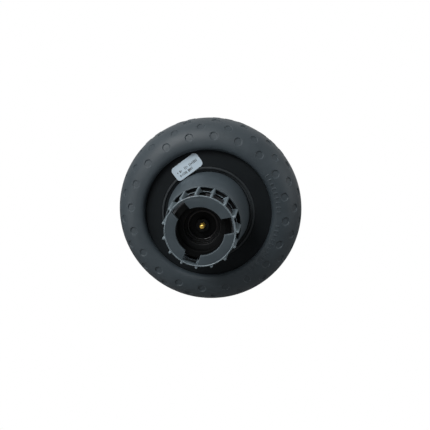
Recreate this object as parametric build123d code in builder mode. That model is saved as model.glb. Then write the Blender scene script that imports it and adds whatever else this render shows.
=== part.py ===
# Hub motor wheel: a solid tyre on a direct-drive motor hub, carried by a fixed nose with a bayonet lock ring.
#
# Everything turns about the Y axis. The origin is the centre of the barrel's mouth, the nose points to -Y,
# and a station is a distance along Y from the mouth into the wheel. Angles run from +X towards +Z.

import os
from math import cos, radians, sin

from build123d import *

os.makedirs("parts", exist_ok=True)

# Driving sizes, in millimetres
wheel_radius = 75.0
tyre_width = 50.0
hub_radius = 50.4
hub_front_half = 19.0
nose_reach = 77.0
barrel_bore = 15.2
barrel_wall = 4.3
shaft_radius = 8.5
stack_length = 16.0
magnet_count = 20
slot_count = 18

# Clearances
bond_gap = 0.05
fastener_gap = 0.05
turning_gap = 0.08
axial_gap = 0.2
air_gap = 0.65
seal_gap = 0.2
coil_gap = 1.5
board_gap = 0.8
seat_gap = 2.45

# Tyre
lip_radius = 4.15

# Hub shell and back cover
drum_wall = 4.0
web_wall = 3.5
seal_width = 3.8
seal_ring_wall = 2.0
seal_lip_depth = 2.0
seal_lip_thickness = 1.0
seal_rounding = 0.35
recess_depth = 5.0
shoulder_wall = 1.0
shoulder_reach = 3.5
bearing_seat_wall = 4.0
gasket_thickness = 0.5
gasket_land = 3.8
cover_thickness = 3.0
cap_thickness = 1.8
cap_land = 2.0
register_depth = 2.5
register_wall = 3.3
cover_trim = 0.1
rounding = 0.8
cover_screw_count = 8
cover_screw_angle = 22.5
cover_screw_radius = 1.25
cover_screw_length = 9.0
cover_screw_inset = 0.4
cover_head_radius = 1.9
cover_head_height = 1.5

# Bearings
bearing_outer = 17.5
bearing_width = 10.0
race_height = 2.5
race_floor = 2.12
race_play = 0.06
ball_count = 10
cage_wall = 1.6
cage_rim = 0.8

# Axle
flange_thickness = 4.0
shoulder_height = 2.3
shaft_hollow = 4.5
shaft_stickout = 1.6
flange_land = 0.8
circlip_thickness = 1.0
circlip_depth = 0.5
circlip_height = 2.0
circlip_reach = 6.0

# Motor
tooth_width = 4.0
yoke_wall = 4.0
tooth_shoe = 2.2
slot_opening = 2.4
insulator_thickness = 0.8
coil_thickness = 2.4
coil_overhang = 3.2
magnet_thickness = 2.4
magnet_pitch_share = 0.88
rotor_ring_wall = 2.5
rotor_margin = 1.0
carrier_wall = 2.5
carrier_web = 4.0
carrier_sleeve_wall = 5.5
carrier_step = 3.0
rim_step = 0.5
insulator_margin = 0.2
coil_play = 0.2
coil_yoke_gap = 0.6
coil_shoe_gap = 0.4
coil_rounding = 0.3

# Controller
board_thickness = 1.6
board_seat_gap = 1.7
board_rim_gap = 0.55
board_hole_radius = 1.1
spacer_radius = 1.8
spacer_bore = 0.9
spacer_count = 3
spacer_seat = 2.05
board_screw_head = 1.2
board_screw_reach = 3.0
component_height = 1.8
component_offset = 3.5
component_depth = 5.0
component_count = 6
transistor_width = 6.5
transistor_height = 1.5
capacitor_width = 3.2
controller_size = 7.0
controller_height = 1.0
controller_offset = 1.0
sensor_width = 3.0
sensor_depth = 1.6
sensor_height = 3.6
sensor_inset = 0.9

# Nose
cone_spread = 6.7
cone_wall = 3.0
cone_rounding = 1.2
cone_front_station = 18.0
front_wall = 4.0
skirt_overlap = 3.5
boss_radius = 4.0
boss_overlap = 0.2
boss_floor = 3.0
screw_radius = 2.0
screw_length = 16.0
screw_count = 6
screw_head_radius = 3.7
guide_depth = 6.0
module_step = 0.5

# Lock ring
lock_face_station = -10.0
lock_flange = 2.8
rim_height = 3.0
notch_rim = 1.7
grip_height = 1.7
rib_depth = 2.3
rib_width = 1.9
rib_count = 15
rib_setback = 0.5
rib_sink = 1.0
grip_setback = 0.4
lock_clearance = 0.2
lock_base_wall = 6.5
lock_base_length = 4.6
notch_width = 10.0
notch_count = 3
notch_angle = 12.0
turn_angle = 60.0
stop_radius = 1.5
stop_height = 2.0
stop_margin = 3.0
stop_play = 0.4
lock_circlip_thickness = 1.2
lock_circlip_height = 2.0
lock_circlip_gap = 4.0
lock_groove_depth = 1.0
o_ring_section = 0.8
o_ring_play = 0.1

# Contact module
well_mouth_radius = 12.0
well_mouth_depth = 4.0
well_radius = 10.4
well_depth = 9.0
boss_contact_radius = 4.5
insulator_length = 31.0
pin_radius = 1.65
pin_tip_station = 6.2
collar_radius = 2.1
collar_length = 2.0
contact_barrel_radius = 2.8
contact_barrel_length = 22.5
contact_barrel_setback = 0.5
contact_barrel_floor = 2.0
pin_play = 0.1
pin_rounding_share = 0.85
return_ring_wall = 1.15
return_ring_setback = 1.0
tail_radius = 0.5
tail_length = 1.0
spring_wire = 0.25
spring_turns = 6
spring_play = 0.15
wire_radius = 0.8
wire_setback = 2.5
wire_straight = 4.0
wire_end_gap = 0.4
bend_radius = 2.0
wide_bend_radius = 5.0

# Label
label_length = 24.0
label_height = 11.6
label_corner = 3.0
label_thickness = 0.25
label_share = 0.223
label_angle = 114.2
label_slant = 12.2

# Radii of the nose and the lock ring, outwards from the barrel
barrel_outer = barrel_bore + barrel_wall
module_bore = barrel_bore + module_step
lock_bore = barrel_bore + lock_clearance
rim_radius = barrel_outer + rim_height
notch_radius = rim_radius - notch_rim
grip_radius = rim_radius + grip_height
rib_root = grip_radius - rib_depth
lock_base_radius = barrel_outer + lock_base_wall
stop_circle = (barrel_outer + turning_gap + lock_base_radius) / 2
lock_circlip_radius = barrel_outer + lock_circlip_height
cone_front_radius = lock_base_radius
cone_base_radius = cone_front_radius + cone_spread
boss_circle = barrel_outer + boss_radius - boss_overlap
flange_radius = boss_circle + screw_head_radius + flange_land
recess_radius = cone_base_radius + seal_width
label_circle = recess_radius + label_share * (hub_radius - recess_radius)

# Radii of the motor, inwards from the drum and outwards from the shaft
drum_inner = hub_radius - drum_wall
rotor_outer = drum_inner - bond_gap
rotor_inner = rotor_outer - rotor_ring_wall
magnet_outer = rotor_inner - bond_gap
magnet_inner = magnet_outer - magnet_thickness
stator_radius = magnet_inner - air_gap
shoe_inner = stator_radius - tooth_shoe
shoulder_radius = shaft_radius + shoulder_height
seat_radius = bearing_outer + bond_gap
seat_outer = bearing_outer + bearing_seat_wall
cover_hole = bearing_outer - shoulder_reach
ball_circle = (shaft_radius + bearing_outer) / 2
ball_radius = (bearing_outer - shaft_radius) / 2 - race_floor
cage_width = 2 * (ball_radius + race_play + cage_rim)
yoke_inner = seat_outer + seat_gap
yoke_outer = yoke_inner + yoke_wall
board_inner = seat_outer + board_seat_gap
board_outer = stator_radius - board_rim_gap
spacer_circle = yoke_inner + spacer_seat
cover_screw_circle = hub_radius - drum_wall / 2 - cover_screw_inset

# Stations, from the nose into the wheel
mid = nose_reach
hub_front = mid - hub_front_half
flange_front = hub_front
flange_back = flange_front + flange_thickness
skirt_end = hub_front + skirt_overlap
recess_floor = hub_front + recess_depth
web_back = recess_floor + web_wall
front_bearing = recess_floor + shoulder_wall
carrier_front = front_bearing + bearing_width
stack_front = web_back + coil_gap + coil_overhang + insulator_thickness
stack_back = stack_front + stack_length
coil_back = stack_back + insulator_thickness + coil_overhang
board_front = coil_back + board_gap
board_back = board_front + board_thickness
drum_back = board_back + component_height + board_gap
rear_bearing = drum_back - shoulder_wall - bearing_width
carrier_back = rear_bearing
clip_start = rear_bearing + bearing_width
shaft_end = clip_start + shaft_stickout
cover_front = drum_back + gasket_thickness
cover_back = cover_front + cover_thickness
wire_station = carrier_back - wire_setback

# The tyre's section: an elliptical crown between two round lips that touch the bead's bore
bead_radius = hub_radius + bond_gap
lip_centre = bead_radius + lip_radius
lip_half = tyre_width / 2 - lip_radius


def face_at(station):
    """A sketch plane square to the axle, facing the nose."""
    return Plane.XZ.offset(-station)


def slab(inner, outer, front, back, mode=Mode.ADD):
    """A rectangle of a half section: radii across, stations along."""
    with Locations(((inner + outer) / 2, (front + back) / 2)):
        Rectangle(outer - inner, back - front, mode=mode)


def write(part, name):
    """Label a finished piece and write it."""
    part.label = name
    export_step(part, f"parts/{name}.step")
    print(f"{name}: {len(part.solids())} solids, {part.volume:.0f} mm3")


# ---------------------------------------------------------------- the wheel
# Tyre
with BuildPart() as tyre:
    with BuildSketch(Plane.XY):
        with BuildLine():
            EllipticalCenterArc(
                (lip_centre, mid), wheel_radius - lip_centre, tyre_width / 2, start_angle=-90, arc_size=180
            )
            back_lip = CenterArc((lip_centre, mid + lip_half), lip_radius, 90, 90)
            front_lip = CenterArc((lip_centre, mid - lip_half), lip_radius, -90, -90)
            Line(back_lip @ 1, front_lip @ 1)
        make_face()
    revolve(axis=Axis.Y)
write(tyre.part, "tyre")

# Hub shell: drum, front web with its recess for the nose, and the seat of the front bearing
with BuildPart() as hub_shell:
    with BuildSketch(Plane.XY):
        slab(drum_inner, hub_radius, hub_front, drum_back)
        slab(recess_radius, drum_inner, hub_front, hub_front + web_wall)
        slab(recess_radius, recess_radius + web_wall, hub_front, web_back)
        slab(seat_radius, recess_radius + web_wall, recess_floor, web_back)
        slab(seat_radius, seat_outer, recess_floor, front_bearing + bearing_width)
        slab(cover_hole, seat_radius, recess_floor, front_bearing)
    revolve(axis=Axis.Y)
    front_edges = hub_shell.edges().filter_by(GeomType.CIRCLE).group_by(Axis.Y)[0]
    chamfer(front_edges.sort_by(SortBy.RADIUS)[0], length=rounding / 2)
    with BuildSketch(face_at(drum_back)):
        with PolarLocations(cover_screw_circle, cover_screw_count, start_angle=cover_screw_angle):
            Circle(cover_screw_radius)
    extrude(amount=cover_screw_length, mode=Mode.SUBTRACT)
write(hub_shell.part, "hub_shell")

# Rotor ring and its magnets, bonded inside the drum around the stack
rotor_front = stack_front - rotor_margin
with BuildPart() as rotor_ring:
    with BuildSketch(Plane.XY):
        slab(rotor_inner, rotor_outer, rotor_front, stack_back + rotor_margin)
    revolve(axis=Axis.Y)
write(rotor_ring.part, "rotor_ring")

magnet_pitch = 360 / magnet_count
magnet_gap_angle = magnet_pitch * (1 - magnet_pitch_share)
magnet_gap_width = 2 * magnet_outer * sin(radians(magnet_gap_angle / 2))
with BuildPart() as magnets:
    with BuildSketch(face_at(stack_back)):
        Circle(magnet_outer)
        Circle(magnet_inner, mode=Mode.SUBTRACT)
        with PolarLocations(magnet_outer, magnet_count):
            Rectangle(4 * magnet_thickness, magnet_gap_width, mode=Mode.SUBTRACT)
    extrude(amount=stack_length)
write(magnets.part, "magnets")

# Back cover with the rear bearing's seat, its gasket, screws and cap
cap_seat = seat_radius - cap_land
with BuildPart() as back_cover:
    with BuildSketch(Plane.XY):
        slab(cover_hole, hub_radius, cover_front, cover_back)
        slab(drum_inner - register_wall, drum_inner - fastener_gap, cover_front - register_depth, cover_front)
        slab(seat_radius, seat_outer, rear_bearing, cover_front)
        slab(cover_hole, seat_radius, drum_back - shoulder_wall, cover_front)
        slab(0, cap_seat, cover_back - cap_thickness, cover_back, mode=Mode.SUBTRACT)
    revolve(axis=Axis.Y)
    back_rim = back_cover.edges().filter_by(GeomType.CIRCLE).group_by(Axis.Y)[-1].sort_by(SortBy.RADIUS)[-1]
    fillet(back_rim, radius=rounding)
    with BuildSketch(face_at(cover_back)):
        with PolarLocations(cover_screw_circle, cover_screw_count, start_angle=cover_screw_angle):
            Circle(cover_screw_radius)
    extrude(amount=cover_thickness + register_depth, mode=Mode.SUBTRACT)
    with BuildSketch(face_at(cover_back)):
        with PolarLocations(cover_screw_circle, cover_screw_count, start_angle=cover_screw_angle):
            Circle(cover_head_radius + 2 * fastener_gap)
    extrude(amount=cover_head_height + cover_trim, mode=Mode.SUBTRACT)
write(back_cover.part, "back_cover")

with BuildPart() as cover_gasket:
    with BuildSketch(Plane.XY):
        slab(hub_radius - gasket_land, hub_radius - cover_trim, drum_back, cover_front)
    revolve(axis=Axis.Y)
    with BuildSketch(face_at(cover_front)):
        with PolarLocations(cover_screw_circle, cover_screw_count, start_angle=cover_screw_angle):
            Circle(cover_screw_radius)
    extrude(amount=gasket_thickness, mode=Mode.SUBTRACT)
write(cover_gasket.part, "cover_gasket")

with BuildPart() as cover_screws:
    with BuildSketch(face_at(cover_back - cover_trim)):
        with PolarLocations(cover_screw_circle, cover_screw_count, start_angle=cover_screw_angle):
            Circle(cover_head_radius)
    extrude(amount=cover_head_height - fastener_gap)
    with BuildSketch(face_at(cover_back - cover_head_height)):
        with PolarLocations(cover_screw_circle, cover_screw_count, start_angle=cover_screw_angle):
            Circle(cover_screw_radius - fastener_gap)
    extrude(amount=cover_screw_length)
    with BuildSketch(face_at(cover_back - cover_trim)):
        with PolarLocations(cover_screw_circle, cover_screw_count, start_angle=cover_screw_angle):
            RegularPolygon(cover_head_radius / 2, 6)
    extrude(amount=cover_head_height * 0.6, mode=Mode.SUBTRACT)
write(cover_screws.part, "cover_screws")

with BuildPart() as hub_cap:
    with BuildSketch(Plane.XY):
        slab(0, cap_seat - bond_gap, cover_back - cap_thickness, cover_back - 2 * cover_trim)
    revolve(axis=Axis.Y)
    fillet(hub_cap.edges().filter_by(GeomType.CIRCLE).group_by(Axis.Y)[-1], radius=rounding / 2)
write(hub_cap.part, "hub_cap")

# Nose seal: a ring in the hub's recess, flush with the hub's face, with a lip that reaches for the cone
with BuildPart() as nose_seal:
    with BuildSketch(Plane.XY):
        slab(recess_radius - seal_ring_wall, recess_radius - bond_gap, hub_front, recess_floor)
        lip_start = hub_front + seal_lip_depth
        slab(
            cone_base_radius + seal_gap,
            recess_radius - seal_ring_wall,
            lip_start,
            lip_start + seal_lip_thickness,
        )
    revolve(axis=Axis.Y)
    lip_edges = nose_seal.edges().filter_by(GeomType.CIRCLE).group_by(Axis.Y)[0]
    fillet(lip_edges, radius=seal_rounding)
write(nose_seal.part, "nose_seal")

# Label on the hub's face
with BuildPart() as label:
    with BuildSketch(face_at(hub_front)):
        place = Location(
            (label_circle * cos(radians(label_angle)), label_circle * sin(radians(label_angle)), 0),
            (0, 0, label_angle - 90 + label_slant),
        )
        with Locations(place):
            RectangleRounded(label_length, label_height, label_corner)
    extrude(amount=label_thickness)
write(label.part, "label")

# ------------------------------------------------------------- the bearings
for side, start in (("front", front_bearing), ("rear", rear_bearing)):
    centre = start + bearing_width / 2
    groove = ball_radius + race_play

    with BuildPart() as inner_race:
        with BuildSketch(Plane.XY):
            slab(shaft_radius + bond_gap, shaft_radius + race_height, start, start + bearing_width)
            with Locations((ball_circle, centre)):
                Circle(groove, mode=Mode.SUBTRACT)
        revolve(axis=Axis.Y)
    write(inner_race.part, f"{side}_bearing_inner")

    with BuildPart() as outer_race:
        with BuildSketch(Plane.XY):
            slab(bearing_outer - race_height, bearing_outer, start, start + bearing_width)
            with Locations((ball_circle, centre)):
                Circle(groove, mode=Mode.SUBTRACT)
        revolve(axis=Axis.Y)
    write(outer_race.part, f"{side}_bearing_outer")

    with BuildPart() as cage:
        with BuildSketch(Plane.XY):
            slab(
                ball_circle - cage_wall / 2,
                ball_circle + cage_wall / 2,
                centre - cage_width / 2,
                centre + cage_width / 2,
            )
        revolve(axis=Axis.Y)
        pocket_planes = []
        for pocket in range(ball_count):
            angle = radians(pocket * 360 / ball_count)
            outward = Vector(cos(angle), 0, sin(angle))
            pocket_planes.append(Plane(outward * ball_circle + Vector(0, centre, 0), z_dir=outward))
        with BuildSketch(*pocket_planes):
            Circle(groove)
        extrude(amount=cage_wall, both=True, mode=Mode.SUBTRACT)
    write(cage.part, f"{side}_bearing_cage")

    with BuildPart() as balls:
        with Locations(face_at(centre)):
            with PolarLocations(ball_circle, ball_count):
                Sphere(ball_radius)
    write(balls.part, f"{side}_bearing_balls")

# --------------------------------------------------- the axle and the stator
with BuildPart() as axle_shaft:
    with BuildSketch(Plane.XY):
        slab(shaft_hollow, shaft_radius, flange_front, shaft_end)
        slab(shaft_radius, shoulder_radius, flange_front, front_bearing)
        slab(shoulder_radius, flange_radius, flange_front, flange_back)
        slab(
            shaft_radius - circlip_depth,
            shaft_radius,
            clip_start,
            clip_start + circlip_thickness,
            mode=Mode.SUBTRACT,
        )
    revolve(axis=Axis.Y)
    with BuildSketch(face_at(flange_back)):
        with PolarLocations(boss_circle, screw_count):
            Circle(screw_radius)
    extrude(amount=flange_thickness, mode=Mode.SUBTRACT)
    with BuildSketch(face_at(flange_back)):
        with PolarLocations(boss_circle, screw_count):
            Circle(screw_head_radius)
    extrude(amount=screw_head_radius - screw_radius, taper=45, mode=Mode.SUBTRACT)
    with BuildSketch(Plane.XY):
        with Locations((0, wire_station)):
            Circle(2 * wire_radius)
    extrude(amount=2 * shaft_radius, both=True, mode=Mode.SUBTRACT)
write(axle_shaft.part, "axle_shaft")

with BuildPart() as flange_screws:
    with BuildSketch(face_at(flange_back - fastener_gap)):
        with PolarLocations(boss_circle, screw_count):
            Circle(screw_head_radius - 2 * fastener_gap)
    extrude(amount=screw_head_radius - screw_radius, taper=45)
    with BuildSketch(face_at(flange_back - fastener_gap)):
        with PolarLocations(boss_circle, screw_count):
            Circle(screw_radius - fastener_gap)
    extrude(amount=screw_length)
write(flange_screws.part, "flange_screws")

with BuildPart() as axle_circlip:
    with BuildSketch(face_at(clip_start + circlip_thickness)):
        Circle(shaft_radius - circlip_depth + circlip_height)
        Circle(shaft_radius - circlip_depth + bond_gap, mode=Mode.SUBTRACT)
        with Locations((shaft_radius, 0)):
            Rectangle(circlip_reach, circlip_height, mode=Mode.SUBTRACT)
    extrude(amount=circlip_thickness)
write(axle_circlip.part, "axle_circlip")

# Stator carrier: a sleeve clamped between the bearings, a web, and a rim inside the core
sleeve_outer = shaft_radius + carrier_sleeve_wall
web_front = carrier_front + carrier_step
rim_inner = yoke_inner - carrier_wall
with BuildPart() as stator_carrier:
    with BuildSketch(Plane.XY):
        slab(shaft_radius + bond_gap, sleeve_outer, carrier_front, carrier_back)
        slab(sleeve_outer, rim_inner, web_front, web_front + carrier_web)
        slab(rim_inner, yoke_inner - bond_gap, carrier_front + rim_step, web_front + carrier_web)
    revolve(axis=Axis.Y)
    with BuildSketch(Plane.XY):
        with Locations((0, wire_station)):
            Circle(2 * wire_radius)
    extrude(amount=2 * sleeve_outer, both=True, mode=Mode.SUBTRACT)
write(stator_carrier.part, "stator_carrier")


def core_outline(margin=0.0):
    """The stator's outline: a yoke, the teeth and their shoes, drawn in by a margin."""
    Circle(shoe_inner + tooth_shoe - margin)
    Circle(shoe_inner + margin, mode=Mode.SUBTRACT)
    with PolarLocations(stator_radius, slot_count, start_angle=180 / slot_count):
        Rectangle(6 * tooth_shoe, slot_opening + 2 * margin, mode=Mode.SUBTRACT)
    with PolarLocations((yoke_outer + shoe_inner) / 2, slot_count):
        Rectangle(shoe_inner - yoke_outer + tooth_shoe, tooth_width - 2 * margin)
    Circle(yoke_outer - margin)
    Circle(yoke_inner + margin, mode=Mode.SUBTRACT)


with BuildPart() as stator_core:
    with BuildSketch(face_at(stack_back)):
        core_outline()
    extrude(amount=stack_length)
write(stator_core.part, "stator_core")

with BuildPart() as slot_insulators:
    with BuildSketch(face_at(stack_back + insulator_thickness), face_at(stack_front)):
        core_outline(margin=insulator_margin)
    extrude(amount=insulator_thickness)
write(slot_insulators.part, "slot_insulators")

coil_inner = yoke_outer + coil_yoke_gap
coil_outer = shoe_inner - coil_shoe_gap
coil_hole = tooth_width + coil_play
coil_height = stack_length + 2 * (insulator_thickness + coil_overhang)
coil_middle = stack_front + stack_length / 2
coil_planes = []
for turn in range(slot_count):
    angle = radians(turn * 360 / slot_count)
    outward = Vector(cos(angle), 0, sin(angle))
    sideways = Vector(-sin(angle), 0, cos(angle))
    coil_planes.append(Plane(outward * coil_inner + Vector(0, coil_middle, 0), x_dir=sideways, z_dir=outward))
with BuildPart() as windings:
    with BuildSketch(*coil_planes):
        RectangleRounded(coil_hole + 2 * coil_thickness, coil_height, coil_thickness)
        RectangleRounded(coil_hole, coil_height - 2 * coil_overhang + coil_play / 2, coil_rounding, mode=Mode.SUBTRACT)
    extrude(amount=coil_outer - coil_inner)
write(windings.part, "windings")

# ------------------------------------------------------------ the controller
with BuildPart() as controller_board:
    with BuildSketch(face_at(board_back)):
        Circle(board_outer)
        Circle(board_inner, mode=Mode.SUBTRACT)
        with PolarLocations(spacer_circle, spacer_count):
            Circle(board_hole_radius, mode=Mode.SUBTRACT)
    extrude(amount=board_thickness)
write(controller_board.part, "controller_board")

with BuildPart() as board_spacers:
    with BuildSketch(face_at(board_front)):
        with PolarLocations(spacer_circle, spacer_count):
            Circle(spacer_radius)
            Circle(spacer_bore, mode=Mode.SUBTRACT)
    extrude(amount=board_front - stack_back - insulator_thickness)
write(board_spacers.part, "board_spacers")

with BuildPart() as board_screws:
    with BuildSketch(face_at(board_back + board_screw_head)):
        with PolarLocations(spacer_circle, spacer_count):
            Circle(spacer_radius)
    extrude(amount=board_screw_head)
    with BuildSketch(face_at(board_back)):
        with PolarLocations(spacer_circle, spacer_count):
            Circle(spacer_bore - fastener_gap)
    extrude(amount=board_thickness + board_screw_reach)
write(board_screws.part, "board_screws")


def chips(radius, count, start, width, depth, height, station):
    """A ring of small packages that stand on a board's face."""
    with BuildPart() as packages:
        with BuildSketch(face_at(station)):
            with PolarLocations(radius, count, start_angle=start):
                Rectangle(depth, width)
        extrude(amount=height)
    return packages.part


board_middle = (board_inner + board_outer) / 2
outer_row = board_middle + component_offset
controller_circle = board_middle - controller_offset
sensor_circle = board_outer - sensor_inset
half_step = 180 / component_count
transistors = chips(
    outer_row, component_count, half_step / 2, transistor_width, component_depth, transistor_height,
    board_back + transistor_height,
)
capacitors = chips(
    outer_row, component_count, half_step * 1.5, capacitor_width, component_depth, component_height,
    board_back + component_height,
)
controller_chip = chips(
    controller_circle, 1, 90, controller_size, controller_size, controller_height, board_back + controller_height
)
hall_sensors = chips(sensor_circle, 3, 180 / slot_count, sensor_width, sensor_depth, sensor_height, board_front)
write(transistors, "transistors")
write(capacitors, "capacitors")
write(controller_chip, "controller_chip")
write(hall_sensors, "hall_sensors")

# ------------------------------------------------------------------ the nose
# Nose housing: a cone and a barrel joined by a wall, open at the back, with ribbed screw bosses
with BuildPart() as nose_housing:
    with BuildSketch(Plane.XY):
        with BuildLine():
            Polyline(
                (cone_base_radius, skirt_end),
                (cone_front_radius, cone_front_station),
                (module_bore, cone_front_station),
                (module_bore, flange_front),
                (barrel_outer, flange_front),
                (barrel_outer, cone_front_station + front_wall),
                (cone_front_radius - cone_wall, cone_front_station + front_wall),
                (cone_base_radius - cone_wall, skirt_end),
                close=True,
            )
        make_face()
        slab(module_bore, barrel_outer, guide_depth, cone_front_station + front_wall)
        slab(barrel_bore, barrel_outer, 0, guide_depth)
    revolve(axis=Axis.Y)
    cone_edge = nose_housing.edges().filter_by(GeomType.CIRCLE).sort_by(SortBy.RADIUS)
    front_edge = cone_edge.filter_by_position(Axis.Y, cone_front_station - 0.01, cone_front_station + 0.01)[-1]
    fillet(front_edge, radius=cone_rounding)
    with BuildSketch(face_at(flange_front)):
        with PolarLocations(boss_circle, screw_count):
            Circle(boss_radius)
    extrude(amount=screw_length - flange_thickness + 2 * boss_floor)
    with BuildSketch(face_at(flange_front)):
        with PolarLocations(boss_circle, screw_count):
            Circle(screw_radius)
    extrude(amount=screw_length - flange_thickness + boss_floor, mode=Mode.SUBTRACT)
    clip_front = cone_front_station - axial_gap - lock_base_length - axial_gap - lock_circlip_thickness
    ring_station = cone_front_station - lock_base_length / 2 - axial_gap
    with BuildSketch(Plane.XY):
        slab(barrel_outer - lock_groove_depth, rim_radius, clip_front, clip_front + lock_circlip_thickness)
        slab(
            barrel_outer - 2 * o_ring_section - bond_gap,
            rim_radius,
            ring_station - o_ring_section - o_ring_play,
            ring_station + o_ring_section + o_ring_play,
        )
    revolve(axis=Axis.Y, mode=Mode.SUBTRACT)
    with BuildSketch(face_at(cone_front_station)):
        with PolarLocations(stop_circle, 1, start_angle=90):
            Circle(stop_radius)
    extrude(amount=-front_wall, mode=Mode.SUBTRACT)
    mouth_edges = nose_housing.edges().filter_by(GeomType.CIRCLE).group_by(Axis.Y)[0]
    chamfer(mouth_edges.sort_by(SortBy.RADIUS)[-1], length=rounding)
write(nose_housing.part, "nose_housing")

with BuildPart() as stop_pin:
    with BuildSketch(face_at(cone_front_station + front_wall)):
        with PolarLocations(stop_circle, 1, start_angle=90):
            Circle(stop_radius - fastener_gap)
    extrude(amount=front_wall + stop_height)
write(stop_pin.part, "stop_pin")

with BuildPart() as barrel_o_ring:
    with BuildSketch(Plane.XY):
        with Locations((barrel_outer - o_ring_section, ring_station)):
            Circle(o_ring_section)
    revolve(axis=Axis.Y)
write(barrel_o_ring.part, "barrel_o_ring")

with BuildPart() as lock_circlip:
    with BuildSketch(face_at(clip_front + lock_circlip_thickness)):
        Circle(lock_circlip_radius)
        Circle(barrel_outer - lock_groove_depth + bond_gap, mode=Mode.SUBTRACT)
        with Locations((0, barrel_outer)):
            Rectangle(lock_circlip_gap, 2 * lock_circlip_gap, mode=Mode.SUBTRACT)
    extrude(amount=lock_circlip_thickness - bond_gap)
write(lock_circlip.part, "lock_circlip")

# Lock ring: a notched front flange carried on ribs by a base ring that turns on the barrel
base_back = cone_front_station - axial_gap
base_front = base_back - lock_base_length
flange_rear = lock_face_station + lock_flange
rib_planes = []
for rib in range(rib_count):
    angle = radians(rib * 360 / rib_count)
    outward = Vector(cos(angle), 0, sin(angle))
    sideways = Vector(-sin(angle), 0, cos(angle))
    rib_planes.append(Plane((0, 0, 0), x_dir=outward, z_dir=sideways))
slot_width = 2 * stop_radius + stop_play
slot_depth = stop_height + stop_play
with BuildPart() as lock_ring:
    with BuildSketch(Plane.XY):
        slab(lock_bore, rim_radius, lock_face_station, flange_rear)
        slab(barrel_outer + turning_gap, lock_base_radius, base_front, base_back)
    revolve(axis=Axis.Y)
    with BuildSketch(*rib_planes):
        with BuildLine():
            Polyline(
                (rib_root, lock_face_station + rib_setback),
                (grip_radius, lock_face_station + rib_setback),
                (lock_base_radius - grip_setback, base_front + rib_sink),
                (rib_root, base_front + rib_sink),
                close=True,
            )
        make_face()
    extrude(amount=rib_width / 2, both=True)
    with BuildSketch(face_at(flange_rear)):
        with PolarLocations(notch_radius / 2, notch_count, start_angle=notch_angle):
            Rectangle(notch_radius, notch_width)
    extrude(amount=lock_flange, mode=Mode.SUBTRACT)
    with BuildSketch(face_at(base_back)):
        with BuildLine():
            slot_line = CenterArc(
                (0, 0), stop_circle, 90 - turn_angle - stop_margin, turn_angle + 2 * stop_margin
            )
        SlotArc(slot_line, slot_width)
    extrude(amount=slot_depth, mode=Mode.SUBTRACT)
write(lock_ring.part, "lock_ring")

# -------------------------------------------------------- the contact module
contact_front = guide_depth
contact_back = contact_front + insulator_length
floor = contact_front + well_depth
boss_front = contact_front + well_mouth_depth
holder_radius = contact_barrel_radius + bond_gap
tail_circle = well_radius - bond_gap - return_ring_wall / 2
with BuildPart() as contact_insulator:
    with BuildSketch(Plane.XY):
        slab(holder_radius, module_bore - bond_gap, contact_front, contact_back)
        slab(0, well_mouth_radius, contact_front, boss_front, mode=Mode.SUBTRACT)
        slab(boss_contact_radius, well_radius, boss_front, floor, mode=Mode.SUBTRACT)
    revolve(axis=Axis.Y)
    with BuildSketch(face_at(contact_back)):
        with PolarLocations(tail_circle, 1, start_angle=90):
            Circle(tail_radius + bond_gap)
    extrude(amount=insulator_length, mode=Mode.SUBTRACT)
write(contact_insulator.part, "contact_insulator")

with BuildPart() as return_contact:
    with BuildSketch(Plane.XY):
        slab(well_radius - bond_gap - return_ring_wall, well_radius - bond_gap, boss_front + return_ring_setback, floor)
    revolve(axis=Axis.Y)
    with BuildSketch(face_at(contact_back + tail_length)):
        with PolarLocations(tail_circle, 1, start_angle=90):
            Circle(tail_radius)
    extrude(amount=contact_back + tail_length - floor + tail_radius)
write(return_contact.part, "return_contact")

holder_front = boss_front + contact_barrel_setback
holder_back = holder_front + contact_barrel_length
collar_front = floor
spring_front = collar_front + collar_length + bond_gap
spring_back = holder_back - contact_barrel_floor - bond_gap
chamber_radius = collar_radius + pin_play
with BuildPart() as contact_barrel:
    with BuildSketch(Plane.XY):
        slab(0, contact_barrel_radius, holder_front, holder_back)
        slab(0, 2 * tail_radius, holder_back, contact_back + tail_length)
        slab(0, pin_radius + turning_gap, holder_front, collar_front, mode=Mode.SUBTRACT)
        slab(0, chamber_radius, collar_front - pin_play, spring_back + bond_gap, mode=Mode.SUBTRACT)
    revolve(axis=Axis.Y)
write(contact_barrel.part, "contact_barrel")

with BuildPart() as contact_pin:
    with BuildSketch(Plane.XY):
        slab(0, pin_radius, pin_tip_station, collar_front + collar_length)
        slab(0, collar_radius, collar_front, collar_front + collar_length)
    revolve(axis=Axis.Y)
    fillet(contact_pin.edges().filter_by(GeomType.CIRCLE).group_by(Axis.Y)[0], radius=pin_radius * pin_rounding_share)
write(contact_pin.part, "contact_pin")

spring_radius = chamber_radius - spring_wire - spring_play
spring_length = spring_back - spring_front - 2 * spring_wire
with BuildPart() as contact_spring:
    with BuildLine():
        coil_line = Helix(
            spring_length / spring_turns,
            spring_length,
            spring_radius,
            center=(0, spring_back - spring_wire, 0),
            direction=(0, -1, 0),
        )
    with BuildSketch(Plane(origin=coil_line @ 0, z_dir=coil_line % 0)):
        Circle(spring_wire)
    sweep(is_frenet=True)
write(contact_spring.part, "contact_spring")


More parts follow.
